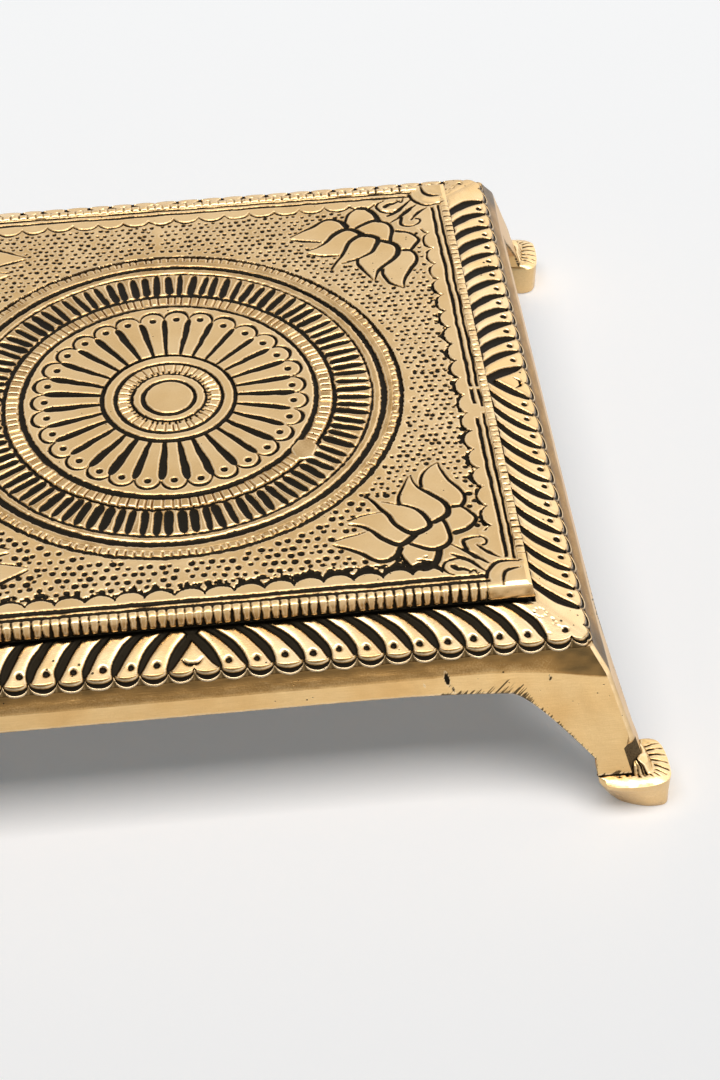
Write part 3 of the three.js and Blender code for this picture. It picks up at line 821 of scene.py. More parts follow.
@dataclass
class TopPlate:
    """Chased top: beaded rim, square grooves, scallops, stippled ground and the corner flowers."""

    face: float = 57.2
    bottom: float = 53.2
    half: float = 88.5
    foot_half: float = 89.4
    crest: float = 58.2
    ground_half: float = 83.5
    field_half: float = 86.35
    cell: float = 0.3
    ground_drop: float = 0.3
    cut_depth: float = 0.62
    scallop_half: float = 79.3
    scallop_rise: float = 3.1
    scallop_stop: float = 67.0
    scallop_pitch: float = 7.63
    scallop_starts: tuple[float, float] = (5.4, -4.2)
    scallop_line: float = 0.72
    dot_pitches: tuple[float, float] = (2.8, 2.25)
    dot_radii: tuple[float, float] = (0.84, 0.62)
    dot_row_share: float = 0.9
    dot_change: float = 50.0
    rim_half: float = 87.35
    rim_rise: float = 0.52
    bead_pitch: float = 2.42
    grooves: tuple = ((83.75, 1.02, 77.6), (85.72, 0.84, 78.4))
    bridges: tuple = (((-9.4, -8.4), (-21.9, -15.9)), ((-9.6, -8.6), (-20.0, -17.3)))
    medallion_shift: float = 2.6
    medallion_reach: float = 65.3
    boss_middle: float = 86.2
    boss_radius: float = 8.6
    lotus: Lotus = field(default_factory=Lotus)
    scroll: Scroll = field(default_factory=Scroll)
    unevenness: HandNoise = field(default_factory=lambda: HandNoise(11))

    def from_medallion(self, x: Array, y: Array) -> Array:
        """Distance from the medallion's middle."""
        return np.hypot(x, y + self.medallion_shift)

    def dots(self, corner: Corner) -> Array:
        """Places of the stipple in one quarter of the ground.

        Args:
            corner: the quarter.

        Returns:
            Places across and in depth, one dot a row, with the radius.
        """
        rng = np.random.default_rng(40 + list(Corner).index(corner))
        found, span = [], 80
        sx, sy = corner.value
        for coarse, (pitch, radius) in enumerate(zip(self.dot_pitches[::-1], self.dot_radii[::-1])):
            fall = pitch * self.dot_row_share
            for j in range(int(span / fall)):
                for i in range(int(span / pitch)):
                    a = 1.2 + (i + 0.5 * (j % 2)) * pitch + rng.uniform(-0.2, 0.2) * pitch
                    b = 77.6 - j * fall + rng.uniform(-0.18, 0.18) * pitch
                    in_front = sy < 0 and b > self.dot_change
                    if in_front == bool(coarse):
                        found.append((a, b, radius * rng.uniform(0.72, 1.2)))
        spots = np.array(found)
        a, b = spots[:, 0], spots[:, 1]
        free = self.from_medallion(sx * a, sy * b) > self.medallion_reach + 1.6
        free &= np.maximum(a, b) < 78.4
        free &= ~((a > 66) & (b > 66))
        for da, db in ((0, 0), (1.2, 0), (-1.2, 0), (0, 1.2), (0, -1.2)):
            free &= ~self.lotus.raised(a + da, b + db, self.ground_half)
        return spots[free]

    def cut_grooves(self, c: Chasing, x: Array, y: Array, along: Array, widening: Array) -> None:
        """Cuts the two square grooves, which are bridged in places on the right.

        Args:
            c: the chasing, in distances from the middle.
            x: places to the right.
            y: places to the back.
            along: places along the nearest side.
            widening: factor of the grooves' width; above 1 on the front, where the wider black is painted
                shade.
        """
        wob, reach, crossing = self.unevenness, np.maximum(c.u, c.v), np.minimum(c.u, c.v)
        for (middle, width, stop), gaps in zip(self.grooves, self.bridges):
            line = np.abs(reach - middle) - width / 2 * widening * (1 + 0.15 * wob.at(along, reach, 6.0))
            line -= 0.13 * (widening - 0.8) * wob.at(along, reach, 0.8)
            for low, high in gaps:
                line = np.where((x > 0) & (c.u > c.v), np.maximum(line, np.minimum(y - low, high - y)), line)
            c.cut(np.maximum(line, crossing - stop))

    def cut_scallops(self, c: Chasing, x: Array, y: Array, along: Array, widening: Array) -> Array:
        """Cuts the row of scallops with black spilled inside their edge; the black is thicker on the front,
        most at its right, as painted shade.

        Args:
            c: the chasing, in distances from the middle.
            x: places to the right.
            y: places to the back.
            along: places along the nearest side.
            widening: strength of the black spilled inside the edge; above 1 on the front, where it is painted
                shade.

        Returns:
            Distance of the scallops' inner edge from the middle.
        """
        wob, reach, crossing = self.unevenness, np.maximum(c.u, c.v), np.minimum(c.u, c.v)
        turn = (along - np.where(c.u < c.v, *self.scallop_starts)) / self.scallop_pitch
        swing = 2 * (turn - np.floor(turn)) - 1
        edge = self.scallop_half + self.scallop_rise * (1 - np.sqrt(1 - 0.96 * swing**2))
        # Painted shade: the scallops' black line is drawn thicker along the front, most at its right.
        thick = np.where((c.u < c.v) & (y < 0), 1.15 + 1.5 * eased((x - 2) / 42), self.scallop_line)
        thick *= 1 + 0.45 * wob.at(along, 0.0, 1.1)
        c.cut(np.maximum(np.abs(reach - edge + thick / 2) - thick / 2, crossing - self.scallop_stop))
        spill_and_shade = 0.75 * (edge - thick - reach) + 0.2 - 1.35 * widening * np.clip(wob.at(x, y, 0.9) + 0.2, 0, 1)
        c.cut(np.where((reach < edge) & (y < 40) & (crossing < self.scallop_stop - 2), spill_and_shade, FAR))
        return edge

    def engraved(self, x: Array, y: Array, corner: Corner) -> tuple[Array, Array, Array]:
        """Works out the chasing of the top at points of one quarter.

        Args:
            x: places to the right.
            y: places to the back.
            corner: the quarter.

        Returns:
            Distance to the nearest cut's edge, height above the face, and brown residue with painted shade,
            at each point.
        """
        wob = self.unevenness
        a = np.abs(x) + 0.16 * wob.at(x, y, 2.6) + 0.2 * wob.at(y, x, 9.0)
        b = np.abs(y) + 0.16 * wob.at(y + 50, x, 2.6) + 0.2 * wob.at(x, y + 50, 9.0)
        chasing = Chasing(a, b)
        along = np.where(a < b, x, y)
        # Painted shade: on the front side the grooves' black and the black inside the scallops are widened.
        widening = np.where((a < b) & (y < 0), 1.55, 1.0)
        self.cut_grooves(chasing, x, y, along, widening)
        edge = self.cut_scallops(chasing, x, y, along, widening)
        self.lotus.engrave(chasing, self.ground_half)
        self.scroll.engrave(chasing, self.ground_half)
        for spot in self.dots(corner):
            chasing.dot(*spot)
        spread = self.from_medallion(x, y)
        chasing.cut(spread - self.medallion_reach - 0.25 * wob.at(x, y, 0.9) - 0.2 * wob.at(y, x, 1.9))
        petals = self.lotus.raised(a, b, self.ground_half)
        reach, crossing = np.maximum(a, b), np.minimum(a, b)
        scallops = (reach > edge) | (crossing > self.scallop_stop) & (reach > 77.5)
        ground = np.where(petals | scallops, 0.0, 1.0)
        lumps = 0.05 * wob.at(x, y, 1.7) + 0.05 * wob.at(x + 20, y, 3.1)
        level = -ground * (self.ground_drop + lumps * 1.5) + 0.02 * wob.at(x, y, 7.0)
        from_boss = np.hypot(a - self.boss_middle, b - self.boss_middle)
        dome = eased((self.boss_radius - 0.4 - from_boss) / 4.5)
        level = np.maximum(level, dome * 1.02 - 0.2 + 0.1 * wob.at(x, y, 2.2))
        # Painted shade: the ground browns more towards the back.
        back = np.clip((y - 5) / 60, 0, 1)
        return chasing.clear, level, ground * (0.12 + 0.2 * wob.at(x, y, 4.0) + 0.12 * back)

    def rim_height(self, out: Array, along: Array, arm: Array) -> tuple[Array, Array]:
        """Works out the beaded rim across its width.

        Args:
            out: distance from the plate's middle line.
            along: place along the side.
            arm: which side's beads.

        Returns:
            Height above the face, and distance to the nearest notch.
        """
        wob = self.unevenness
        t = (out - self.rim_half) / 1.12
        arch = self.rim_rise * eased((t + 1.05) / 0.7) * np.where(t < 0, 1.0, 1 - 0.5 * t**2)
        phase = (along + 0.35 * wob.at(along, arm * 30.0, 5.0)) / self.bead_pitch + 0.3 * arm
        bead = np.abs(2 * (phase - np.floor(phase)) - 1)
        near_corner = eased((np.abs(along) - 76.0) / 3.0)
        notch = (1 - bead) * self.bead_pitch / 2 - 0.13 + 0.22 * wob.at(along, out, 1.1)
        dip = 0.75 * np.clip(1 - notch / 0.7, 0, 1) ** 1.5
        height = arch * (1.0 - dip * (1 - near_corner) * (0.75 + 0.35 * wob.at(along, arm * 9.0, 3.0)))
        return height, np.where(near_corner > 0.5, FAR, notch)

    def field_piece(self, corner: Corner) -> Thing:
        """Makes one quarter of the chased field.

        Args:
            corner: the quarter.

        Returns:
            The piece.
        """
        sx, sy = corner.value
        count = int(self.field_half / self.cell)
        line = np.linspace(0, self.field_half, count + 1)
        a, b = np.meshgrid(line, line)
        x, y = sx * a, sy * b
        clear, level, soil = (v.reshape(a.shape) for v in self.engraved(x.ravel(), y.ravel(), corner))
        spread = self.from_medallion(x, y)
        z = self.face + level - sunk(clear, self.cut_depth, 0.4, 0.45, 0.095)
        z = np.where(spread < self.medallion_reach - 0.1, self.face - 1.6, z)
        draft = Draft()
        ids = draft.add(x, y, z, clear, (x, y), soil)
        low = draft.add(x, y, np.full(x.shape, self.bottom + 1.2), None, (x, y))
        out = spread > self.medallion_reach - 1.2
        keep = out[:-1, :-1] & out[:-1, 1:] & out[1:, :-1] & out[1:, 1:]
        draft.weave(ids, keep=keep)
        self.close_below(draft, ids, low, keep)
        return draft.piece(f"chased_field_{corner.label}")

    def close_below(self, draft: Draft, ids: Array, low: Array, keep: Array) -> None:
        """Adds the side walls and the flat underside of a field with a hole.

        Args:
            draft: the piece's draft.
            ids: numbers of the points on top.
            low: numbers of the points below them.
            keep: which cells of the lattice are filled.
        """
        rows, columns = keep.shape
        wide = np.zeros((rows + 2, columns + 2), bool)
        wide[1:-1, 1:-1] = keep
        follow: dict[int, int] = {}
        top = {int(n): int(m) for n, m in zip(low.ravel(), ids.ravel())}
        inner = slice(1, -1)
        edges = (
            (keep & ~wide[:-2, inner], (0, 0), (0, 1)), (keep & ~wide[2:, inner], (1, 1), (1, 0)),
            (keep & ~wide[inner, :-2], (1, 0), (0, 0)), (keep & ~wide[inner, 2:], (0, 1), (1, 1)),
        )
        for open_edge, (r0, c0), (r1, c1) in edges:
            for r, c in zip(*np.nonzero(open_edge)):
                follow[int(low[r + r0, c + c0])] = int(low[r + r1, c + c1])
        loop = [next(iter(follow))]
        while follow[loop[-1]] != loop[0]:
            loop.append(follow[loop[-1]])
        for n, m in zip(loop, loop[1:] + loop[:1]):
            draft.faces.append([top[n], top[m], m, n])
        draft.faces.append(loop[::-1])

    def rim_piece(self, corner: Corner) -> Thing:
        """Makes the beaded rim round one corner, from the middle of one side to the middle of the next.

        Args:
            corner: the corner.

        Returns:
            The piece.
        """
        wall_z = np.array([57.32, 57.0, 56.6, 56.15, 55.6, 55.0, 54.4, 53.8, 53.25])
        crown, wall = slice(0, 10), slice(10, 10 + len(wall_z))
        slope = [self.foot_half, self.half + 0.42, self.half + 0.02]
        side = np.interp(wall_z, [self.bottom, 56.0, 58.0], slope)
        halves = np.concatenate([np.linspace(self.field_half, self.half, crown.stop), side,
                                 [self.foot_half - 0.1, self.field_half]])
        heights = np.concatenate([np.full(crown.stop, self.face), wall_z, [self.bottom, self.bottom]])
        a, b, along, arm = corner_lattice(halves, 290)
        sx, sy = corner.value
        x, y = sx * a, sy * b
        clear, level, _ = (v.reshape(a.shape) for v in self.engraved(x.ravel(), y.ravel(), corner))
        out = np.repeat(halves[:, None], a.shape[1], 1)
        rise, notch = self.rim_height(out, along, arm)
        notch -= 0.1 * (arm < 0.5) * (sy < 0)
        z = np.repeat(heights[:, None], a.shape[1], 1)
        field_level = level[crown] * eased((88.3 - out[crown]) / 0.8)
        groove = sunk(clear[crown], 0.5) * eased((out[crown] - 86.2) / 0.1)
        z[crown] = self.face + np.maximum(rise[crown], field_level) - groove
        wob, wall_along, wall_z = self.unevenness, along[wall], z[wall]
        depth = np.clip((57.6 - wall_z) / 3.0, 0, 1)
        chipped = np.clip(wob.at(wall_along * 2, wall_z * 2, 1.3), 0, 1)
        wedge = notch[wall] + 0.05 - 0.3 * depth**2 - 0.25 * chipped
        # Painted shadow: the wall turns black towards its foot, in the gap above the frame, and its last rows
        # are black.
        under = (wall_z - 53.1 + 0.3 * wob.at(wall_along, wall_z, 1.2)) * 0.9
        clear[wall] = np.minimum(np.where(depth > 0.05, wedge, FAR), under)
        clear[crown] = np.minimum(clear[crown], notch[crown] + 0.5 * eased((86.6 - out[crown]) / 0.4))
        clear[wall.stop - 1:] = -1.0
        push = 0.35 * eased(-clear[wall] / 0.4)
        x[wall] -= np.where(arm[wall] > 0.5, sx * push, 0)
        y[wall] -= np.where(arm[wall] > 0.5, 0, sy * push)
        draft = Draft()
        # Painted shade: the wall browns more towards its bottom.
        soil = (0.5 + 0.55 * wob.at(along * 0.7, z, 1.3)) * np.clip((57.3 - z) / 1.6, 0, 1)
        soil[crown] = 0.0
        ids = draft.add(x, y, z, clear, (along, out), soil)
        return draft.tube(ids, f"beaded_rim_{corner.label}", by_column=True)

    def underside(self) -> Thing:
        """Makes the rough cast underside that shows inside the frame."""
        count = 110
        line = np.linspace(-self.field_half, self.field_half, count)
        x, y = np.meshgrid(line, line)
        wob = HandNoise(5)
        draft = Draft()
        low = draft.add(x, y, self.bottom + 0.12 * (1 + wob.at(x, y, 6.0)), None, (x, y))
        high = draft.add(x, y, np.full(x.shape, self.bottom + 1.1), None, (x, y))
        draft.weave(low)
        draft.weave(high[:, ::-1])
        rims = (low[0], high[0]), (high[-1], low[-1]), (high[:, 0], low[:, 0]), (low[:, -1], high[:, -1])
        for rim in rims:
            draft.weave(np.stack(rim))
        return draft.piece("plate_underside")


def corner_lattice(halves: Array, steps: int) -> tuple[Array, Array, Array, Array]:
    """Lays rows of points round a corner, from the middle of one side to the middle of the next.

    Args:
        halves: distance of each row from the middle line.
        steps: columns on each arm.

    Returns:
        Distances across and in depth, place along the arm, and the arm (0 or 1), in rows and columns.
    """
    share = np.linspace(0, 1, steps)
    run = np.concatenate([share, share[-2::-1]])
    arm = (np.arange(len(run)) >= steps).astype(float)
    half = halves[:, None]
    along = run * half
    a = np.where(arm < 0.5, along, half + 0 * along)
    b = np.where(arm < 0.5, half + 0 * along, along)
    return a, b, along, np.repeat(arm[None], len(halves), 0)


@dataclass
class Medallion:
    """Round centre of the top, in rings that are chased one by one."""

    face: float = 57.2
    base: float = 54.3
    shift: float = 2.6
    petals: int = 31
    flutes: int = 96
    first_petal: float = math.radians(-90.5)
    cut_depth: float = 0.68
    rings: tuple[float, ...] = (0.3, 18.7, 41.1, 59.8, 65.4)
    bead_rings: tuple = ((38, 10.9, 14.6, 5), (118, 41.9, 45.7, 31), (176, 62.2, 65.2, 51))
    hub_groove: tuple[float, float] = (18.6, 1.35)
    bead_groove: Triple = (41.1, 1.5, 0.16)
    flute_groove: Triple = (59.7, 1.8, 0.18)
    blob_place: tuple[float, float] = (35.3, -26.4)
    unevenness: HandNoise = field(default_factory=lambda: HandNoise(23))

    def folded(self, angle: Array, count: int, start: float, jitter: float, seed: int) -> tuple[Array, Array]:
        """Folds a ring into equal shares with a little hand error.

        Args:
            angle: angles of the points.
            count: number of shares.
            start: angle of the first one's middle.
            jitter: largest error, as a share of one part.
            seed: seed of the errors.

        Returns:
            Angle from the nearest part's middle, and that part's number.
        """
        part = 2 * math.pi / count
        errors = np.random.default_rng(seed).uniform(-jitter, jitter, count) * part
        number = np.round((angle - start) / part).astype(int) % count
        local = (angle - start - number * part - errors[number] + math.pi) % (2 * math.pi) - math.pi
        return local, number

    def ring_line(self, c: Chasing, radius: float, width: float, rag: float = 0.08) -> None:
        """Cuts one groove right round with an uneven edge; it is wider in front, where its black is painted
        shade.

        Args:
            c: the chasing.
            radius: the groove's middle.
            width: its full width.
            rag: raggedness of its edges.
        """
        arc, wob = c.v * radius, self.unevenness
        gain = (1 + 0.12 * wob.at(arc, radius, 5.0)) * (1 + 0.2 * np.cos(c.v + 2.1))
        half = width / 2 * gain + rag * wob.at(arc, c.u, 0.9)
        c.cut(np.abs(c.u - radius - 0.2 * wob.at(arc, 0.0, 14.0)) - half)

    def nicks(self, c: Chasing, count: int, inner: float, outer: float, width: float, seed: int) -> None:
        """Cuts short radial nicks.

        Args:
            c: the chasing.
            count: nicks in the ring.
            inner: radius where they start.
            outer: radius where they end.
            width: their full width.
            seed: seed of the hand error.
        """
        local, number = self.folded(c.v, count, 0.1, 0.22, seed)
        uneven = np.random.default_rng(seed + 1).uniform(-0.35, 0.35, count)[number] * (outer - inner)
        across = np.abs(local) * c.u - width / 2
        ends = np.maximum(inner - c.u - uneven * 0.5, c.u - outer)
        c.cut(np.where(ends > 0, np.hypot(np.maximum(across, 0), ends), np.maximum(across, ends)))

    def blob(self, radius: Array, angle: Array) -> Array:
        """Distance from the edge of the smooth blob that a flaw of the mould left, below zero on it."""
        x, y = radius * np.cos(angle), radius * np.sin(angle)
        gap = np.hypot(x - self.blob_place[0], y - self.blob_place[1])
        return gap - 3.1 + 0.7 * self.unevenness.at(x, y, 2.2)

    def beads(self, radius: Array, angle: Array) -> Array:
        """Seams round the beads of the bead rings.

        Args:
            radius: distances from the medallion's middle.
            angle: angles of the points.

        Returns:
            Share from 0 on a bead to 1 in a seam.
        """
        seam = np.zeros(radius.shape)
        for count, inner, outer, seed in self.bead_rings:
            local, _ = self.folded(angle, count, 0.1, 0.22, seed)
            gap = np.minimum(np.abs(local) * radius / 0.7, np.minimum(radius - inner, outer - radius) / 0.8)
            seam = np.where((radius > inner) & (radius < outer), np.clip(1 - gap, 0, 1) ** 2, seam)
        return np.where(self.blob(radius, angle) < 0.4, 0.0, seam)

    def hub(self, c: Chasing) -> None:
        """Centre disc, toothed groove and bead ring."""
        self.ring_line(c, 7.35, 1.25)
        self.ring_line(c, 10.35, 0.85, 0.2)
        self.nicks(c, 44, 10.4, 11.7, 0.6, 3)
        self.nicks(c, 38, 11.2, 14.9, 0.14, 5)
        self.ring_line(c, 15.0, 1.15)
        self.ring_line(c, *self.hub_groove)

    def daisy(self, c: Chasing) -> None:
        """Petals with spindle cuts between them, a dot at each tip and an arc round it."""
        rng = np.random.default_rng(8)
        self.ring_line(c, *self.hub_groove)
        local, number = self.folded(c.v, self.petals, self.first_petal, 0.03, 9)
        across, out = c.u * np.sin(local), c.u * np.cos(local) - 34.9
        shift = rng.uniform(-0.8, 0.8, self.petals)[number]
        c.cut(np.hypot(across - 0.25 * shift, out - shift * 0.7) - 0.98)
        past_tip = out - rng.uniform(-0.35, 0.35, self.petals)[number]
        bow = np.clip(past_tip / 3.4, 0, 1) ** 2
        thick = (0.25 + 0.3 * bow) * (1 + 0.35 * self.unevenness.at(c.u, c.v * 30, 2.0))
        c.cut(np.maximum(np.abs(np.hypot(across, past_tip) - 3.45) - thick, -past_tip))
        between, seam = self.folded(c.v, self.petals, self.first_petal + math.pi / self.petals, 0.04, 14)
        # Painted shade: the spindle cuts are wider towards the front left.
        wide = (1.24 + rng.uniform(-0.14, 0.26, self.petals)[seam]) * (1 + 0.13 * np.cos(c.v + 1.9))
        share = (c.u - 19.3) / (15.5 + rng.uniform(-0.5, 0.5, self.petals)[seam])
        t = np.clip(share, 0, 1)
        half = (0.4 + 0.58 * t**0.8) * wide * np.sqrt(1 - t**9)
        side = np.abs(c.u * np.sin(between) + 0.16 * self.unevenness.at(c.u, c.v * 20, 2.4))
        c.cut(side - half + np.maximum(np.abs(share - 0.5) - 0.5, 0) * 12.0)
        self.ring_line(c, *self.bead_groove)

    def fluting(self, c: Chasing) -> None:
        """Bead ring, flutes with black gaps, and the plain ring outside them."""
        rng = np.random.default_rng(18)
        self.ring_line(c, *self.bead_groove)
        self.nicks(c, 118, 42.0, 45.5, 0.16, 31)
        arc = c.v * 46.0
        jag = 0.5 * self.unevenness.at(arc, 0.0, 1.0) + 0.35 * self.unevenness.at(arc, 5.0, 2.2)
        c.cut(np.abs(c.u - 46.1 - 0.5 * jag) - 0.6 - 0.3 * jag)
        local, number = self.folded(c.v, self.flutes, 0.02, 0.09, 19)
        m = (c.u - 51.25) / (4.85 + rng.uniform(-0.3, 0.3, self.flutes)[number])
        # Painted shade: the flutes' gaps are a little wider towards the front left.
        wide = 1.06 * (1 + rng.uniform(-0.2, 0.18, self.flutes)[number]) * (1 + 0.06 * np.cos(c.v + 2.0))
        half = wide * np.clip(1 - np.abs(m) ** 7, 0, 1) * (1 - 0.12 * m)
        bend = 0.35 * rng.uniform(-1, 1, self.flutes)[number] * m
        side = np.abs(c.u * np.sin(local) + bend + 0.12 * self.unevenness.at(c.u, arc, 2.0))
        c.cut(side - half + np.maximum(np.abs(m) - 1, 0) * 5.0)
        self.ring_line(c, 56.5, 0.8, 0.2)
        self.ring_line(c, *self.flute_groove)
        blob = self.blob(c.u, c.v)
        c.clear = np.where(blob < 0.6, np.maximum(c.clear, 0.6 - blob), c.clear)

    def border(self, c: Chasing) -> None:
        """Outer band with a nicked and ragged edge."""
        self.ring_line(c, *self.flute_groove)
        self.nicks(c, 176, 62.6, 64.6, 0.3, 51)
        arc = c.v * 64.4
        jag = 0.55 * self.unevenness.at(arc, 0.0, 1.1) + 0.4 * self.unevenness.at(arc, 3.0, 2.6)
        c.cut(64.15 + 0.55 * jag - c.u)

    def ring_piece(self, name: str, inner: float, outer: float, rows: int, columns: int,
                   chase: Callable[[Chasing], None], roll: float) -> Thing:
        """Makes one ring of the medallion.

        Args:
            name: name of the piece.
            inner: its inner radius.
            outer: its outer radius.
            rows: points across the ring.
            columns: points round it.
            chase: cuts its pattern.
            roll: drop of the rounded edges beside its cuts.

        Returns:
            The piece.
        """
        radius = np.linspace(inner, outer, rows)[:, None] + np.zeros((1, columns))
        angle = np.linspace(0, 2 * math.pi, columns, endpoint=False)[None] + np.zeros((rows, 1))
        chasing = Chasing(radius.copy(), angle.copy())
        chase(chasing)
        x, y = radius * np.cos(angle), radius * np.sin(angle) - self.shift
        swell = 0.03 * self.unevenness.at(x, y, 5.0)
        seam = self.beads(radius, angle)
        z = self.face + swell - 0.3 * seam - sunk(chasing.clear, self.cut_depth, 0.42, 0.4 + roll, roll)
        draft = Draft()
        # Brown share: light residue all over, more outside the bead groove, and painted shade in the seams
        # between beads.
        outside = 0.5 * eased((radius - 41.2) / 0.6) * (1 + 0.7 * self.unevenness.at(x, y, 3.0))
        ids = draft.add(x, y, z, chasing.clear, (x, y), 0.06 * (1 + swell * 30) + outside + 0.9 * seam)
        ends = np.array([outer, inner])[:, None] + np.zeros((1, columns))
        turn = angle[:2]
        low = draft.add(ends * np.cos(turn), ends * np.sin(turn) - self.shift, np.full(ends.shape, self.base))
        if inner > 1.0:
            draft.weave(np.vstack([ids, low]), round_rows=True, round_columns=True)
        else:
            draft.weave(np.vstack([ids, low[:1]]), round_columns=True)
            draft.cap(ids[0])
            draft.cap(low[0][::-1])
        return draft.piece(name)

    def pieces(self) -> list[Thing]:
        """Makes all rings."""
        plans = (("hub", 64, 400, self.hub, 0.15), ("petals", 76, 868, self.daisy, 0.15),
                 ("flutes", 62, 1240, self.fluting, 0.3), ("border", 20, 1240, self.border, 0.15))
        return [self.ring_piece(f"medallion_{name}", inner, outer, *plan)
                for (name, *plan), inner, outer in zip(plans, self.rings, self.rings[1:])]


@dataclass(frozen=True)
class TongueRow:
    """Where the tongues' tips meet along one half of a side, from the side's middle outwards."""

    heart: float
    first: float
    opposite: float
    pitch: float
    count: int = 13

    def tips(self, seed: int) -> Array:
        """Places of the tips' meeting points, from the far end of the heart to past the corner.

        Args:
            seed: seed of the hand error.

        Returns:
            The places along the side.
        """
        error = np.random.default_rng(seed).uniform(-0.3, 0.3, self.count)
        error[0] = 0.0
        row = self.first + self.pitch * np.arange(self.count) + error
        return np.concatenate([[-self.opposite, self.heart], row, [row[-1] + 6.7, 103.6]])


@dataclass
class BorderFrame:
    """Gadrooned frame: slanted tongues, their turned-down tips, and the thin lip round them.

    A row of the tips is its place out from the crest, its height above it, its distance to the black
    and its painted shade.
    """

    start: float = 89.8
    root_half: float = 87.6
    root_height: float = 52.9
    crest_half: float = 101.5
    crest_height: float = 49.5
    bottom: float = 46.6
    ledge_half: float = 78.0
    ledge_bottom: float = 50.2
    lean: float = 8.0
    bow: float = 1.85
    relief: float = 0.95
    scallop: float = 1.3
    dot_radius: float = 0.92
    columns: int = 330
    front_round: float = 3.0
    back_round: float = 5.5
    gap_run: float = 12.3
    gap_widths: tuple[float, ...] = (1.9, 2.0, 2.2, 2.5, 2.6, 2.5, 2.2, 1.5, 0.5)
    heart_lean: float = 7.2
    heart_widths: tuple[float, ...] = (1.9, 2.2, 2.6, 3.0, 3.1, 2.9, 2.4, 1.5, 0.4)
    smile: tuple = ((-3.4, 7.6), (-2.2, 9.2), (-0.6, 10.0), (1.0, 9.6), (2.4, 7.9))
    lobe_spots: tuple = ((2.6, 5.6, 0.36), (3.3, 6.6, 0.2), (4.1, 7.9, 0.2), (2.9, 7.2, 0.14),
                         (1.2, 9.9, 0.22))
    # The last column paints shade: brown on the turned-down noses, near black on the lip's underside.
    tip_rows: tuple = (
        (0.0, 0.0, 0.9, 0.7), (0.12, -0.12, 0.8, 1.2), (0.2, -0.35, 0.6, 1.5), (0.3, -0.6, 0.4, 1.65),
        (0.4, -0.85, 0.2, 1.75), (0.48, -1.1, 0.0, 1.8), (0.54, -1.35, -0.35, 1.8), (0.62, -1.78, -0.5, 1.0),
        (0.82, -2.1, -0.5, 0.5), (1.04, -2.2, -0.35, 0.2), (1.16, -2.1, -0.02, 0.0), (1.3, -2.1, 0.3, 0.1),
        (1.44, -2.25, 0.4, 1.0), (1.5, -2.5, 0.4, 1.7), (1.46, -2.8, 0.3, 1.9),
    )
    unevenness: HandNoise = field(default_factory=lambda: HandNoise(37))

    def row(self, corner: Corner, arm: int) -> TongueRow:
        """Tongues of one half side.

        Args:
            corner: the corner that the half side leads to.
            arm: 0 along X, 1 along Y.

        Returns:
            Their row.
        """
        if arm == 0 and corner is Corner.FRONT_RIGHT:
            return TongueRow(1.25, 7.9, 5.4, 6.87)
        if arm == 0 and corner is Corner.FRONT_LEFT:
            return TongueRow(-1.25, 5.4, 7.9, 6.95)
        if arm == 1 and corner is Corner.FRONT_RIGHT:
            return TongueRow(0.0, 6.6, 7.5, 6.98)
        if arm == 1 and corner is Corner.BACK_RIGHT:
            return TongueRow(0.0, 7.5, 6.6, 6.8)
        return TongueRow(0.0, 6.9, 6.9, 6.93)

    def tongues(self, along: Array, down: Array, corner: Corner, arm: int, tips: Array) -> Array:
        """Cuts the gaps and dots of one half side.

        Args:
            along: place along the side.
            down: distance down the slope from the plate's edge.
            corner: the corner that the half side leads to.
            arm: 0 along X, 1 along Y.
            tips: places where the tips meet.

        Returns:
            Distance to the nearest cut's edge.
        """
        wob = self.unevenness
        c = Chasing(along + 0.16 * wob.at(along, down, 3.0), down + 0.1 * wob.at(down, along, 3.0))
        rng = np.random.default_rng(80 + 2 * list(Corner).index(corner) + arm)
        s = np.linspace(-2.4, self.gap_run + 0.4, 18)
        fall = np.clip(1 - s / self.gap_run, 0, 1.2)
        spots = Chasing(c.u, c.v)
        for tip, side in ((tips[2], 1), (tips[0], -1)):
            c.stroke(np.stack([tip - side * self.heart_lean * fall**1.4, s], 1), self.heart_widths)
        straighter = arm == 0 and corner is Corner.FRONT_LEFT
        for n, tip in enumerate(tips[3:15]):
            lean = self.lean * max(0.84 - 0.055 * n, 0.5) if straighter else self.lean
            x = tip - lean * rng.uniform(0.93, 1.07) * fall**self.bow
            wide = rng.uniform(0.88, 1.12)
            c.stroke(np.stack([x, s], 1), [w * wide for w in self.gap_widths])
            middle = (tip + tips[n + 2]) / 2 - 0.9 + rng.uniform(-0.3, 0.3)
            spots.dot(middle, 9.3 + rng.uniform(-0.5, 0.4), self.dot_radius * rng.uniform(0.9, 1.12))
        heart, lobe, turn = tips[1], tips[14], 1 if corner.value[0] > 0 else -1
        spots.stroke(flowing([(heart + turn * dx, ds) for dx, ds in self.smile]), (0.2, 0.9, 1.3, 0.9, 0.2))
        if arm == 0:
            spots.dot(lobe + 5.4, 9.2, 0.9)
            for angle in 2 * math.pi * np.arange(9) / 9:
                spots.dot(lobe - 0.2 + 1.5 * math.cos(angle), 3.4 + 1.4 * math.sin(angle), 0.16)
            for dx, ds, radius in self.lobe_spots:
                spots.dot(lobe + dx, ds, radius)
        c.cut(np.where(spots.clear > 0, spots.clear * 3.6, spots.clear))
        # Painted shadow: a ragged black band along the tongues' roots, below the plate's overhanging edge.
        ragged = 0.4 * wob.at(along, 0.0, 1.6) + 0.3 * wob.at(along, 7.0, 5.0)
        c.cut(down + 0.3 - ragged)
        return c.clear

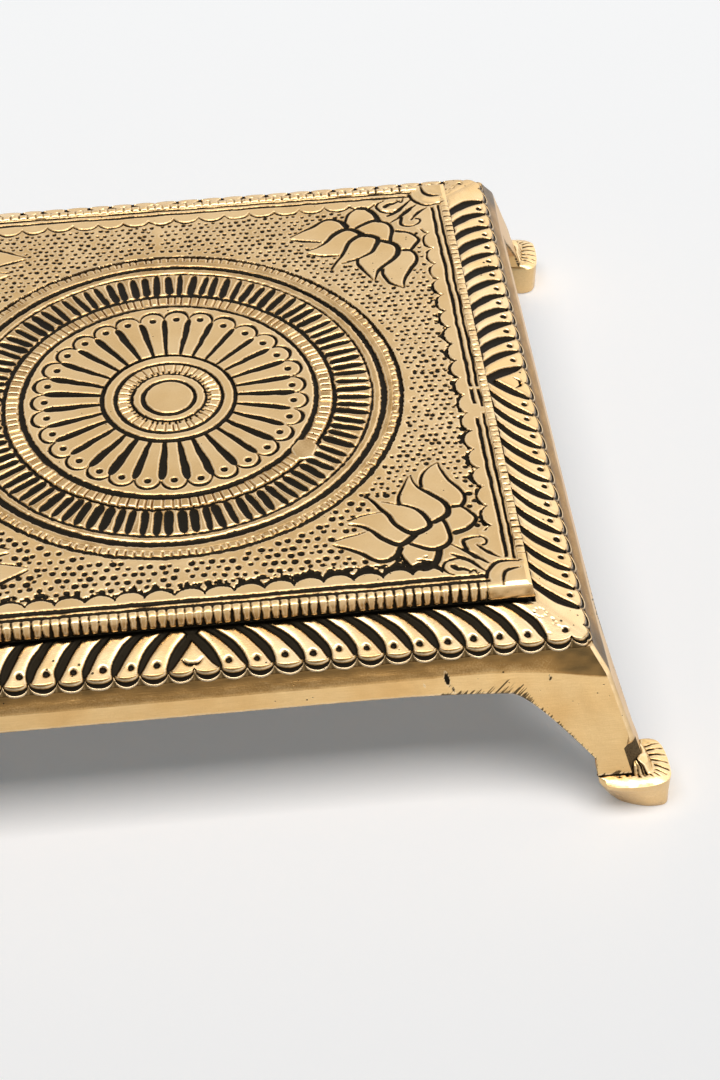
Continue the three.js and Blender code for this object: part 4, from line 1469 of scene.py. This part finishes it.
    def piece(self, corner: Corner) -> Thing:
        """Makes the frame round one corner.

        Args:
            corner: the corner.

        Returns:
            The piece.
        """
        fall = (self.root_height - self.crest_height) / (self.crest_half - self.root_half)
        slope = math.atan(fall)
        on_slope = np.linspace(self.root_half, self.crest_half - 0.2, 46)
        tip_out, tip_up, tip_clear, tip_shade = (column[:, None] for column in np.array(self.tip_rows).T)
        hidden = np.array([(102.7, self.bottom), (99.0, self.bottom), (94.6, self.bottom), (94.6, 48.0),
                           (86.0, self.ledge_bottom), (self.ledge_half, self.ledge_bottom),
                           (self.ledge_half, 53.15), (self.root_half, 53.15)])
        top, low = len(on_slope), len(on_slope) + len(tip_out)
        halves = np.concatenate([on_slope, self.crest_half + tip_out[:, 0], hidden[:, 0]])
        heights = np.concatenate([self.root_height - (on_slope - self.root_half) * fall,
                                  self.crest_height + tip_up[:, 0], hidden[:, 1]])
        a, b, along, arm = corner_lattice(halves, self.columns)
        out = np.repeat(halves[:, None], a.shape[1], 1)
        z = np.repeat(heights[:, None], a.shape[1], 1)
        down = (out - self.start) / math.cos(slope)
        clear = np.full(a.shape, FAR)
        soil = np.zeros(a.shape)
        for k in (0, 1):
            here = arm[0] == k
            tips = self.row(corner, k).tips(60 + 2 * list(Corner).index(corner) + k)
            clear[:top, here] = self.tongues(along[:top, here], down[:top, here], corner, k, tips)
            place = along[:, here]
            slot = np.clip(np.searchsorted(tips, place.ravel()) - 1, 0, len(tips) - 2).reshape(place.shape)
            middle, width = (tips[slot] + tips[slot + 1]) / 2, (tips[slot + 1] - tips[slot]) / 2
            across = np.clip((place - middle) / width, -1, 1)
            moon = np.sqrt(np.clip(1 - across**2, 0, 1))
            size = (0.13 + 0.87 * moon) * np.where(place > tips[-2], 0.7, 1.0)
            grow = (size * (1 + 0.06 * self.unevenness.at(place, 0.0, 2.5)))[top:low]
            pull = self.scallop * (1 - moon) * eased((out[:, here] - self.crest_half + 3.2) / 3.2)
            out[:top, here] -= pull[:top]
            z[:top, here] += pull[:top] * fall
            inset = self.scallop * (1 - moon[top:low]) * np.linspace(1.0, 0.6, len(tip_out))[:, None]
            out[top:low, here] = self.crest_half + tip_out * grow - inset
            z[top:low, here] = self.crest_height + tip_up * grow + inset * fall
            near = tip_clear * np.clip(grow, 0.5, 1)
            flank = (1 - np.abs(across[top:low])) * width[top:low] - 0.42
            above_black = (tip_clear > 0) & (tip_out < 0.9)
            clear[top:low, here] = np.where(above_black, np.minimum(near, flank), near)
            soil[top:low, here] = tip_shade
            soil[low, here] = tip_shade[-1]
        radius = self.front_round if corner.value[1] < 0 else self.back_round
        share = np.clip((out - self.root_half) / (self.crest_half - self.root_half), 0, 1)
        a = np.where(arm < 0.5, along, out)
        b = np.where(arm < 0.5, out, along)
        a, b = rounded_corner(a, b, out, radius * share)
        pillow = sunk(clear[:top], self.relief, 0.5, 1.2, 0.3)
        z[:top] -= pillow * eased((out[:top] - self.root_half) / 0.5)
        z[:top] += 0.05 * self.unevenness.at(a[:top], b[:top], 4.0)
        off_mitre = np.abs(a[:top] - b[:top])
        blend = 4.0 - 3.2 * share[:top]
        z[:top] -= fall * 0.5 * (np.sqrt(off_mitre**2 + blend**2) - off_mitre)
        sx, sy = corner.value
        draft = Draft()
        ids = draft.add(sx * a, sy * b, z, clear, (along, down), soil)
        return draft.tube(ids, f"gadrooned_frame_{corner.label}", 65.0, by_column=True)


def rounded_corner(a: Array, b: Array, half: Array, radius: Array) -> tuple[Array, Array]:
    """Rounds rows of points that turn a square corner.

    Args:
        a: distances from the middle across.
        b: distances in depth.
        half: half width of each point's row.
        radius: radius of the rounding at each point.

    Returns:
        The two distances after rounding.
    """
    r = np.maximum(radius, 1e-3)
    run = np.clip((np.minimum(a, b) - half + r) / r, 0, 1)
    angle = run * math.pi / 4
    long_side = half - r + r * np.cos(angle)
    short_side = np.where(run > 0, half - r + r * np.sin(angle), np.minimum(a, b))
    return np.where(a >= b, long_side, short_side), np.where(a >= b, short_side, long_side)


def bent(start: Spot, pull: Spot, end: Spot, count: int) -> Array:
    """Curve between two points that leans towards a third.

    Args:
        start: first point.
        pull: the point that it leans towards.
        end: last point.
        count: number of parts.

    Returns:
        The points after the first, one a row.
    """
    t = np.linspace(0, 1, count + 1)[1:, None]
    a, b, c = (np.array(p) for p in (start, pull, end))
    return a * (1 - t) ** 2 + 2 * b * t * (1 - t) + c * t**2


@dataclass
class SidePanel:
    """Cast side: cove below the lip, plain flared band and two half legs with an arch between."""

    top: float = 47.2
    cove_half: float = 102.6
    band_half: float = 104.8
    band_height: float = 45.9
    band_low: float = 39.2
    band_dip: float = 1.5
    dip_start: float = 46.0
    arch_half: float = 80.6
    arch_bend: float = 4.6
    heel: float = 103.0
    heel_top: float = 16.7
    ankle_half: float = 115.9
    ankle: float = 12.5
    wall: float = 3.0
    corner_drop: float = 4.7
    corner_run: float = 44.0
    cove_rows: int = 14
    face_rows: int = 34
    flat_columns: int = 60
    dip_columns: int = 85
    arch_columns: int = 69
    heel_columns: int = 7
    sole_columns: int = 14
    deep_pits: tuple = ((64.6, 43.0, 1.5), (66.2, 39.9, 0.35), (91.0, 41.0, 0.3), (58.8, 41.9, 0.25))
    unevenness: HandNoise = field(default_factory=lambda: HandNoise(71))

    def face_half(self, z: Array) -> Array:
        """Distance of the band's face from the middle at a height."""
        flare = (self.ankle_half - self.band_half) / (self.band_height - self.ankle)
        return self.band_half + (self.band_height - z) * flare

    def bevel(self, z: Array) -> Array:
        """Width of the corner's bevel at a height."""
        return np.interp(z, [12.5, 19.6, 21.4, 23.0, 47.2], [5.6, 5.2, 2.2, 1.8, 1.5])

    def edge(self, z: Array) -> Array:
        """End of the panel's face at a height."""
        return self.face_half(z) - self.bevel(z) / math.sqrt(2)

    def cove(self, share: Array, turned: Array) -> tuple[Array, Array]:
        """Profile of the cove.

        Args:
            share: 0 below the lip, 1 where the band's face begins.
            turned: 0 along the side, 1 at its corner.

        Returns:
            Distance from the middle, and height.
        """
        low = self.band_height - self.corner_drop * turned**2 - 2.3 + 1.5 * turned
        ends = ((self.cove_half, self.top), (self.cove_half + 0.3, self.top - 0.9),
                (self.face_half(low) - 0.33, low + 1.0), (self.face_half(low), low))
        c = share
        weights = ((1 - c) ** 3, 3 * c * (1 - c) ** 2, 3 * c**2 * (1 - c), c**3)
        return sum(w * e[0] for w, e in zip(weights, ends)), sum(w * e[1] for w, e in zip(weights, ends))

    def outline(self) -> Array:
        """Lower outline of the panel from its middle out, one point a row."""
        shoulder = self.band_low - self.band_dip
        dip_end, heel = (self.arch_half, shoulder), (self.heel, self.heel_top)
        flat = [(x, self.band_low) for x in np.linspace(0, self.dip_start, self.flat_columns)]
        middle = ((self.arch_half + self.dip_start) / 2, self.band_low)
        dip = bent(flat[-1], middle, dip_end, self.dip_columns)
        arch = bent(dip_end, (self.arch_half + self.arch_bend, shoulder), heel, self.arch_columns)
        rise = [(self.heel, z) for z in np.linspace(self.heel_top, self.ankle, self.heel_columns + 1)[1:]]
        toe = float(self.edge(self.ankle))
        sole = [(x, self.ankle) for x in np.linspace(self.heel, toe, self.sole_columns + 1)[1:]]
        return np.vstack([flat, dip, arch, rise, sole])

    def lattice(self) -> tuple[Array, Array, Array, int]:
        """Lays the panel's points, from its middle to its end on the right.

        Returns:
            Places along the side, distances from the middle and heights, in rows and columns, and the
            number of rows on the outside.
        """
        low = self.outline()
        count = len(low)
        plain, before_sole = self.flat_columns + self.dip_columns, count - self.sole_columns - 1
        corner_half, corner_z = self.cove(np.array(1.0), np.array(1.0))
        corner_end = float(corner_half - self.bevel(corner_z) / math.sqrt(2))
        rest = np.linspace(self.arch_half, corner_end, count - plain + 1)[1:]
        head = np.concatenate([low[:plain, 0], rest])
        turned = np.clip((head - self.band_half + self.corner_run) / self.corner_run, 0, 1)
        turned[-1] = 1.0
        pull = np.clip((head - 78.0) / (head[-1] - 78.0), 0, 1) ** 2
        after_heel = np.clip((np.arange(count) - before_sole) / self.sole_columns, 0, 1)
        rows = []
        for c in np.linspace(0, 1, self.cove_rows)[:-1]:
            half, z = self.cove(np.full(count, c), turned)
            end = half[-1] - self.bevel(z[-1]) / math.sqrt(2)
            rows.append((head + pull * (end - head[-1]), half, z))
        _, head_z = self.cove(np.full(count, 1.0), turned)
        for v in np.linspace(0, 1, self.face_rows) ** 1.05:
            z = head_z * (1 - v) + low[:, 1] * v
            x = head * (1 - v) + low[:, 0] * v
            rows.append((x + (self.edge(z[-1]) - x[-1]) * pull, self.face_half(z), z))
        outer_rows = len(rows)
        for depth, lift in ((0.25, 0.06), (0.7, 0.1), (1.6, 0.05), (self.wall, 0.0)):
            z = low[:, 1] + np.where(np.arange(count) < before_sole, lift, 0.0)
            rows.append((low[:, 0] - after_heel * depth, self.face_half(low[:, 1]) - depth, z))
        for v in (0.3, 0.65, 1.0):
            z = low[:, 1] * (1 - v) + (self.top - 0.9) * v
            x = low[:, 0] * (1 - v) + head * v - (after_heel * (1 - v) + pull * v) * self.wall
            rows.append((x, self.face_half(z) - self.wall, z))
        x, half, z = (np.array(part) for part in zip(*rows))
        half[-1] = self.cove_half - self.wall
        return x, half, z, outer_rows

    def piece(self, side: Side) -> Thing:
        """Makes one side panel.

        Args:
            side: the side.

        Returns:
            The piece.
        """
        x, half, z, outer_rows = self.lattice()
        wob, shift = self.unevenness, side.value * 300.0
        dent = 0.07 * wob.at(x + shift, z, 9.0) + 0.03 * wob.at(x + shift, z, 3.0)
        half[7:outer_rows - 1] += (dent * eased((110 - x) / 10))[7:outer_rows - 1]
        both = ((x, -1), (half, 1), (z, 1))
        full_x, full_half, full_z = (np.hstack([sign * v[:, :0:-1], v]) for v, sign in both)
        wx, wy = side.turned(full_x, -full_half)
        cut, soil = np.full(full_x.shape, FAR), np.zeros(full_x.shape)
        face, cove = slice(self.cove_rows, outer_rows + 2), slice(0, self.cove_rows)
        from_edge = np.hypot(full_x - full_x[outer_rows - 1], full_z - full_z[outer_rows - 1])
        cut[face] = from_edge[face] + 0.1 + 0.12 * wob.at(full_x[face] + shift, full_z[face], 1.5)
        # Painted shade in the cove below the lip: darkest next to the lip and on the corner's concave facet.
        turn = eased((np.abs(full_x[cove]) - 88) / 11)
        soil[cove] = np.linspace(1.65, 0.7, self.cove_rows)[:, None] * (1 - turn) + 1.75 * turn
        soil[cove] += 0.2 * wob.at(full_x[cove] + shift, full_z[cove] * 3, 3.0)
        for pit_x, pit_z, pit_long in self.deep_pits if side is Side.FRONT else ():
            gap = np.hypot((full_x - pit_x) * 2.6 + (full_z - pit_z) * 0.5, full_z - pit_z) - pit_long
            cut = np.minimum(cut, gap)
        draft = Draft()
        ids = draft.add(wx, wy, full_z, cut, (full_x + shift, full_z), soil)
        return draft.tube(ids, f"flared_side_{side.label}", 42.0, by_column=True)


@dataclass
class CornerPost:
    """Narrow rounded bevel on a corner, from the lip to the ankle, with a raw notch above the foot."""

    inner: float = 2.4
    bulge: float = 0.1225
    notch_top: float = 20.5
    levels: int = 46

    def section(self, half: float, z: float, panel: SidePanel) -> tuple[Array, Array]:
        """Outline of the post at one height, at the front right corner.

        Args:
            half: distance of the faces from the middle.
            z: the height.
            panel: the side that the post stands against.

        Returns:
            Places across and in depth.
        """
        edge = half - float(panel.bevel(z)) / math.sqrt(2)
        t = np.linspace(0, 1, 9)
        bulge = self.bulge * (half - edge) * np.sin(math.pi * t) * (z >= self.notch_top)
        across = edge + (half - edge) * t + bulge
        depth = half + (edge - half) * t + bulge
        back = [(half - 0.2, edge - 0.8), (edge - self.inner, edge - self.inner), (edge - 0.8, half - 0.2)]
        return np.append(across, [p[0] for p in back]), np.append(depth, [p[1] for p in back])

    def piece(self, corner: Corner, panel: SidePanel) -> Thing:
        """Makes one post.

        Args:
            corner: its corner.
            panel: the side that it stands against.

        Returns:
            The piece.
        """
        share = np.linspace(0.02, 1, 12)
        half, z = panel.cove(share, np.ones(12))
        low = np.concatenate([np.linspace(float(z[-1]), 21.6, self.levels)[1:], np.linspace(21.4, 19.6, 5),
                              np.linspace(19.3, panel.ankle, 12)])
        z, half = np.concatenate([z, low]), np.concatenate([half, panel.face_half(low)])
        rings = [self.section(float(h), float(level), panel) for h, level in zip(half, z)]
        a, b = np.array([r[0] for r in rings]), np.array([r[1] for r in rings])
        sx, sy = corner.value
        draft = Draft()
        height = np.repeat(z[:, None], a.shape[1], 1)
        pitted = HandNoise(90).at(height, a - b, 2.0)
        ids = draft.add(sx * a, sy * b, height, None, (height, a - b), 0.2 + 0.2 * pitted)
        return draft.tube(ids, f"corner_bevel_{corner.label}", 40.0)


@dataclass
class Foot:
    """Fan-shaped foot turned out at the corner: a wall that leans out to a crisp edge, and a ribbed top."""

    crest_height: float = 11.0
    ankle_height: float = 12.2
    heel: float = 153.8
    heart: tuple[float, float] = (112.6, -112.0)
    crest: tuple = ((105.1, -118.7), (108.6, -119.4), (112.0, -119.8), (115.5, -119.8), (118.2, -119.4),
                    (120.7, -118.4), (122.2, -116.6), (122.5, -113.6), (122.4, -110.4), (122.1, -107.6),
                    (121.4, -105.3), (120.2, -103.8), (117.6, -103.2), (113.0, -104.5), (108.0, -108.0),
                    (103.4, -114.9))
    sole: tuple = ((108.0, -112.6), (109.4, -114.2), (111.8, -115.6), (114.6, -116.7), (117.0, -117.3),
                   (119.4, -117.4), (121.3, -117.0), (122.3, -115.4), (122.4, -112.3), (122.0, -109.0),
                   (121.2, -106.6), (119.8, -105.1), (117.2, -104.5), (113.5, -105.5), (110.0, -108.0),
                   (107.6, -110.6))
    ankle: tuple = ((104.4, -115.6), (109.0, -115.9), (112.0, -116.1), (114.2, -116.4), (115.9, -116.2),
                    (117.0, -115.4), (117.7, -114.2), (117.8, -112.3), (117.6, -110.4), (117.3, -108.6),
                    (116.9, -107.1), (116.2, -105.9), (115.0, -105.3), (112.0, -106.3), (108.8, -109.0),
                    (103.0, -114.8))
    ribs: tuple = (4.3, 5.0, 5.75, 6.5, 7.35, 8.25, 9.15, 10.0)
    rib_starts: tuple = (0.62, 0.45, 0.22, 0.1, 0.08, 0.08, 0.08, 0.1)
    rib_ends: tuple = (0.9, 0.82, 0.84, 0.9, 1.1, 1.1, 1.1, 1.1)
    notches: tuple = (0.9, 1.5, 2.1, 2.7, 3.3, 3.85)
    unevenness: HandNoise = field(default_factory=lambda: HandNoise(57))

    def ribs_clear(self, s: Array, t: Array) -> Array:
        """Distance to the nearest groove on the toe.

        Args:
            s: place round the foot, one for each outline point.
            t: share of the way from the crisp edge up to the ankle.

        Returns:
            The distance.
        """
        step = 2.75 * (1 - 0.5 * np.clip(t, 0, 1))
        wob = 0.11 * self.unevenness.at(s * 3.0, t * 5.0, 1.3)
        clear = np.full(s.shape, FAR)
        for middle, start, end in zip(self.ribs, self.rib_starts, self.rib_ends):
            side = np.abs(s - middle) * step - 0.1 - 0.14 * np.clip(t, 0, 1) + wob
            clear = np.minimum(clear, np.maximum(side, np.maximum(start - t, t - end) * 5.0))
        for n, middle in enumerate(self.notches):
            side = np.abs(s - middle) * step - 0.2 + 2 * wob
            clear = np.minimum(clear, np.maximum(side, (0.72 + 0.06 * (n % 3) - t) * 5.0))
        return np.where(t < 0, FAR, clear)

    def shape(self) -> tuple[Array, Array, Array, Array]:
        """Rings of the foot from the sole up, at the front right corner.

        Returns:
            Places in three axes, and the distance to the nearest groove, in rows and columns.
        """
        lines = (self.sole, self.crest, self.ankle)
        sole, crest, ankle = (flowing(line + line[:1], 14)[:-1] for line in lines)
        middle = np.array(self.heart)
        up = np.linspace(0, 1, 16)[1:]
        rings = [(middle + (sole - middle) * 0.95, 0.0, -1.0), (sole, 0.35, -1.0)]
        for share, z in ((0.3, 2.8), (0.6, 5.9), (0.85, 8.6), (0.97, 9.85)):
            rings.append((sole * (1 - share) + crest * share, z, -1.0))
        rings.append((crest, self.crest_height, 0.0))
        for share in up:
            rise = (self.ankle_height - self.crest_height) * share + 0.35 * math.sin(math.pi * share)
            rings.append((crest * (1 - share) + ankle * share, self.crest_height + rise, float(share)))
        for share, z in ((0.75, 14.3), (0.45, 14.8), (0.2, 15.0)):
            rings.append((middle + (ankle - middle) * share, z, 1.2))
        s = np.linspace(0, len(self.crest), len(crest), endpoint=False)[None] + np.zeros((len(rings), 1))
        t = np.array([r[2] for r in rings])[:, None] + 0 * s
        clear = self.ribs_clear(s, t)
        x, y = np.array([r[0][:, 0] for r in rings]), np.array([r[0][:, 1] for r in rings])
        z = np.array([r[1] for r in rings])[:, None] - sunk(clear, 0.6, 0.3, 0.35, 0.1) * eased(t / 0.1)
        z = z + 0.06 * self.unevenness.at(x * 1.3, y * 1.3, 1.4) * eased((t + 1) / 1.2)
        return x, y, np.maximum(z, 0.0), clear

    def piece(self, corner: Corner, panel: SidePanel) -> Thing:
        """Makes one foot.

        Args:
            corner: the corner that it turns to.
            panel: the side whose leg stands on it.

        Returns:
            The piece.
        """
        x, y, z, clear = self.shape()
        draft = Draft()
        thing = draft.tube(draft.add(x, y, z), f"fan_foot_{corner.label}", 38.0)
        self.carve(thing, panel)
        place = np.array([vert.co for vert in thing.data.vertices]) / MM
        tree = KDTree(x.size)
        for n, spot in enumerate(zip(x.ravel(), y.ravel(), z.ravel())):
            tree.insert(spot, n)
        tree.balance()
        near = np.array([tree.find(spot)[1] for spot in place])
        cut = clear.ravel()[near]
        leg = np.maximum(np.abs(place[:, 0]), np.abs(place[:, 1])) - panel.face_half(place[:, 2])
        edge = panel.edge(place[:, 2]) + panel.face_half(place[:, 2])
        leg = np.maximum(leg, (np.abs(place[:, 0]) + np.abs(place[:, 1]) - edge) / math.sqrt(2))
        ragged = 0.3 * self.unevenness.at(place[:, 0], place[:, 1], 1.2)
        joint = np.where(place[:, 2] > 12.0, leg - 0.12 + ragged, FAR)
        soil = 0.08 + 0.12 * (place[:, 2] < self.crest_height - 0.2)
        mark(thing.data, np.minimum(cut, joint), place[:, [0, 2, 1]], soil)
        sx, sy = corner.value
        thing.data.transform(Matrix.Diagonal((sx, -sy, 1, 1)))
        if sx * -sy < 0:
            thing.data.flip_normals()
        return thing

    def carve(self, thing: Thing, panel: SidePanel) -> None:
        """Cuts the leg's seat and the upright heel off the foot.

        Args:
            thing: the foot, at the front right corner.
            panel: the side whose leg stands on it.
        """
        levels = []
        for z in (panel.ankle - 0.3, 19.5):
            half = float(panel.face_half(z)) + 0.1
            edge = half - float(panel.bevel(z)) / math.sqrt(2)
            levels.append(([(-half, half), (-half, -half), (edge, -half), (half, -edge), (half, half)], z))
        inner, wide = self.heel - 60, 30
        turned = [((d + t) / math.sqrt(2), (t - d) / math.sqrt(2))
                  for d, t in ((inner, -wide), (self.heel, -wide), (self.heel, wide), (inner, wide))]
        cutters = prism(levels, "seat_cutter"), prism([(turned, -5.0), (turned, 30.0)], "heel_cutter")
        for cutter in cutters:
            trim = thing.modifiers.new("trim", "BOOLEAN")
            trim.object = cutter
            trim.operation = "DIFFERENCE"
            trim.solver = "EXACT"
        bpy.context.view_layer.update()
        solid = bpy.data.meshes.new_from_object(thing.evaluated_get(bpy.context.evaluated_depsgraph_get()))
        thing.modifiers.clear()
        old = thing.data
        thing.data = solid
        bpy.data.meshes.remove(old)
        solid.name = thing.name
        for cutter in cutters:
            bpy.data.objects.remove(cutter)
        for name in ("cut", "grain", "soil"):
            if name in solid.attributes:
                solid.attributes.remove(solid.attributes[name])
        solid.shade_smooth()
        solid.set_sharp_from_angle(angle=math.radians(40))


def prism(levels: Sequence[tuple[Points, float]], name: str) -> Thing:
    """Straight-sided body between two outlines.

    Args:
        levels: outline and height of each end.
        name: name of the object.

    Returns:
        The object.
    """
    draft = Draft()
    rings = [draft.add(*np.array(outline, float).T, z) for outline, z in levels]
    return draft.tube(np.array(rings), name)


@dataclass
class ReferenceCamera:
    """Camera at the photograph's angle."""

    place: Triple = (6.061, -530.354, 495.290)
    azimuth: float = -5.0144
    elevation: float = -43.2737
    roll: float = 1.3528
    focal: float = 2455.345
    tall: float = 1080.0
    film: float = 36.0

    def set_up(self) -> None:
        """Makes the camera and gives it to the scene."""
        az, el, roll = (math.radians(v) for v in (self.azimuth, self.elevation, self.roll))
        ahead = Vector((-math.sin(az) * math.cos(el), math.cos(az) * math.cos(el), math.sin(el)))
        level = Vector((math.cos(az), math.sin(az), 0.0))
        below = ahead.cross(level)
        right = level * math.cos(roll) + below * math.sin(roll)
        down = ahead.cross(right)
        data = bpy.data.cameras.new("reference_camera")
        data.sensor_width = self.film
        data.sensor_height = self.film
        data.sensor_fit = "AUTO"
        data.lens = self.focal * self.film / self.tall
        data.clip_start = 0.01
        camera = bpy.data.objects.new("reference_camera", data)
        turn = Matrix((right, -down, -ahead)).transposed()
        camera.matrix_world = Matrix.Translation(Vector(self.place) * MM) @ turn.to_4x4()
        bpy.context.scene.collection.objects.link(camera)
        bpy.context.scene.camera = camera


@dataclass
class Studio:
    """Pale floor, a soft box overhead and a plain room that is darker round the viewer."""

    floor_colour: Colour = (0.8, 0.8, 0.8)
    floor_seen: Colour = (0.97, 0.915, 0.875)
    lift_front: Colour = (0.02, 0.068, 0.103)
    lift_back: Colour = (0.19, 0.238, 0.273)
    floor_reach: Triple = (6.0, -0.37, 8.0)
    page: float = 0.888
    fill_front: float = 0.12
    fill_back: float = 0.03
    back: float = 0.6
    back_low: float = 1.08
    back_right: float = 1.6
    low_left: float = 0.7
    low_right: float = 1.78
    front_left: float = 0.6
    front_right: float = 1.5
    above: float = 1.15
    viewer: float = 0.12
    box_power: float = 64.0
    box_size: tuple[float, float] = (3.2, 1.3)
    box_place: Triple = (0.2, -0.62, 2.5)
    box_lean: float = 0.08

    def room(self) -> None:
        """Lights the room softly and gives the metal its surroundings to mirror."""
        world = bpy.data.worlds.new("studio_room")
        world.use_nodes = True
        world.node_tree.nodes.clear()
        w = Wiring(world.node_tree)
        end, glow = w.node("ShaderNodeOutputWorld"), w.node("ShaderNodeBackground")
        w.feed(end.inputs["Surface"], glow.outputs[0])
        where, path = w.node("ShaderNodeTexCoord"), w.node("ShaderNodeLightPath")
        x, y, z = w.split(where.outputs["Generated"])
        front = w.span(x, -0.45, 0.4, self.front_left, self.front_right)
        low = w.span(x, 0.0, 0.11, self.low_left, self.low_right)
        front = w.mixed(w.span(z, 0.0, 0.3), low, front)
        back = w.span(z, 0.56, 0.66, self.back_low, self.back)
        back = w.mixed(w.span(x, 0.16, 0.4), back, opaque((self.back_right,) * 3))
        level = w.mixed(w.span(y, -0.65, 0.2), front, back)
        level = w.mixed(w.span(z, 0.55, 0.95), level, opaque((self.above,) * 3))
        towards = w.node("ShaderNodeVectorMath", operation="DOT_PRODUCT")
        w.feed(towards.inputs[0], where.outputs["Generated"])
        towards.inputs[1].default_value = (0.0, -0.69, 0.72)
        near_viewer = w.span(towards.outputs["Value"], 0.84, 0.97, 0.0, 0.85)
        level = w.mixed(near_viewer, level, opaque((self.viewer,) * 3))
        fill = w.span(y, -0.3, 0.3, self.fill_front, self.fill_back)
        shown = w.mixed(path.outputs["Is Glossy Ray"], fill, level)
        shown = w.mixed(path.outputs["Is Camera Ray"], shown, opaque((self.page,) * 3))
        w.feed(glow.inputs["Color"], shown)
        glow.inputs["Strength"].default_value = 1.0
        bpy.context.scene.world = world

    def lamps(self) -> None:
        """Hangs a soft box above and a little in front of the stool."""
        data = bpy.data.lights.new("soft_box", "AREA")
        data.shape = "RECTANGLE"
        data.size, data.size_y = self.box_size
        data.energy = self.box_power
        lamp = bpy.data.objects.new("soft_box", data)
        lamp.location = self.box_place
        lamp.rotation_euler = (math.atan2(-self.box_place[1], self.box_place[2]), self.box_lean, 0.0)
        bpy.context.scene.collection.objects.link(lamp)

    def floor(self) -> None:
        """Lays the pale floor, which ends a little in front of the picture."""
        mesh = bpy.data.meshes.new("floor")
        side, near, far = self.floor_reach
        corners = [(-side, near, 0), (side, near, 0), (side, far, 0), (-side, far, 0)]
        mesh.from_pydata(corners, [], [(0, 1, 2, 3)])
        thing = bpy.data.objects.new("floor", mesh)
        bpy.context.scene.collection.objects.link(thing)
        made = bpy.data.materials.new("pale_floor")
        made.use_nodes = True
        made.node_tree.nodes.clear()
        w = Wiring(made.node_tree)
        end, both = w.node("ShaderNodeOutputMaterial"), w.node("ShaderNodeAddShader")
        paper, lift = w.node("ShaderNodeBsdfDiffuse"), w.node("ShaderNodeEmission")
        w.feed(end.inputs["Surface"], both.outputs[0])
        w.feed(both.inputs[0], paper.outputs[0])
        w.feed(both.inputs[1], lift.outputs[0])
        path = w.node("ShaderNodeLightPath")
        seen = w.math("MAXIMUM", path.outputs["Is Camera Ray"], path.outputs["Is Glossy Ray"])
        seen = w.math("MAXIMUM", seen, path.outputs["Is Transmission Ray"])
        where = w.node("ShaderNodeTexCoord")
        tooth = w.grains(where.outputs["Object"], 40.0, 2.0)
        tone = w.mixed(tooth, opaque(self.floor_seen), opaque(tuple(c * 0.996 for c in self.floor_seen)))
        w.feed(paper.inputs["Color"], w.mixed(seen, opaque(self.floor_colour), tone))
        depth = w.math("MULTIPLY", w.math("ADD", w.split(where.outputs["Object"])[1], 0.2), 2.0, clamp=True)
        w.feed(lift.inputs["Color"], w.mixed(depth, opaque(self.lift_front), opaque(self.lift_back)))
        w.feed(lift.inputs["Strength"], seen)
        mesh.materials.append(made)

    def set_up(self) -> None:
        """Makes the whole studio."""
        bpy.context.scene.view_settings.view_transform = "Standard"
        self.room()
        self.lamps()
        self.floor()


def settle(thing: Thing, finish: Finish, slot: str, *nodes: str) -> None:
    """Dresses a piece and ties it to the frame.

    Args:
        thing: the piece.
        finish: its finish.
        slot: not used.
        nodes: the solids that it stands for.
    """
    finish.dress(thing)
    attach(thing, "root")
    if nodes:
        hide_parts(*nodes)
    LOG.info("%s: %d faces, %s", thing.name, len(thing.data.polygons), finish.value.name)


def main() -> None:
    """Builds the stool piece by piece and sets it in the studio."""
    logging.basicConfig(level=logging.INFO, format="%(message)s")
    ReferenceCamera().set_up()
    Studio().set_up()
    plate, border, panel, post, foot = TopPlate(), BorderFrame(), SidePanel(), CornerPost(), Foot()
    for ring in Medallion().pieces():
        settle(ring, Finish.CHASED, "chased_brass", "top_plate")
    for corner in Corner:
        settle(plate.field_piece(corner), Finish.CHASED, "chased_brass", "top_plate")
        settle(plate.rim_piece(corner), Finish.CHASED, "chased_brass", "top_plate")
        settle(border.piece(corner), Finish.GADROONED, "gadrooned_brass", "border_frame")
        settle(foot.piece(corner, panel), Finish.POLISHED, "polished_brass", f"{corner.label}_foot")
        settle(post.piece(corner, panel), Finish.POST, "brushed_brass", f"{corner.label}_post")
        Finish.FIXING.dress(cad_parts[f"{corner.label}_plate_rivet"])
        Finish.FIXING.dress(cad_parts[f"{corner.label}_foot_pin"])
    settle(plate.underside(), Finish.CAST, "chased_brass", "top_plate")
    for side in Side:
        settle(panel.piece(side), Finish.BRUSHED, "brushed_brass", f"{side.label}_panel")


if __name__ == "__main__":
    main()
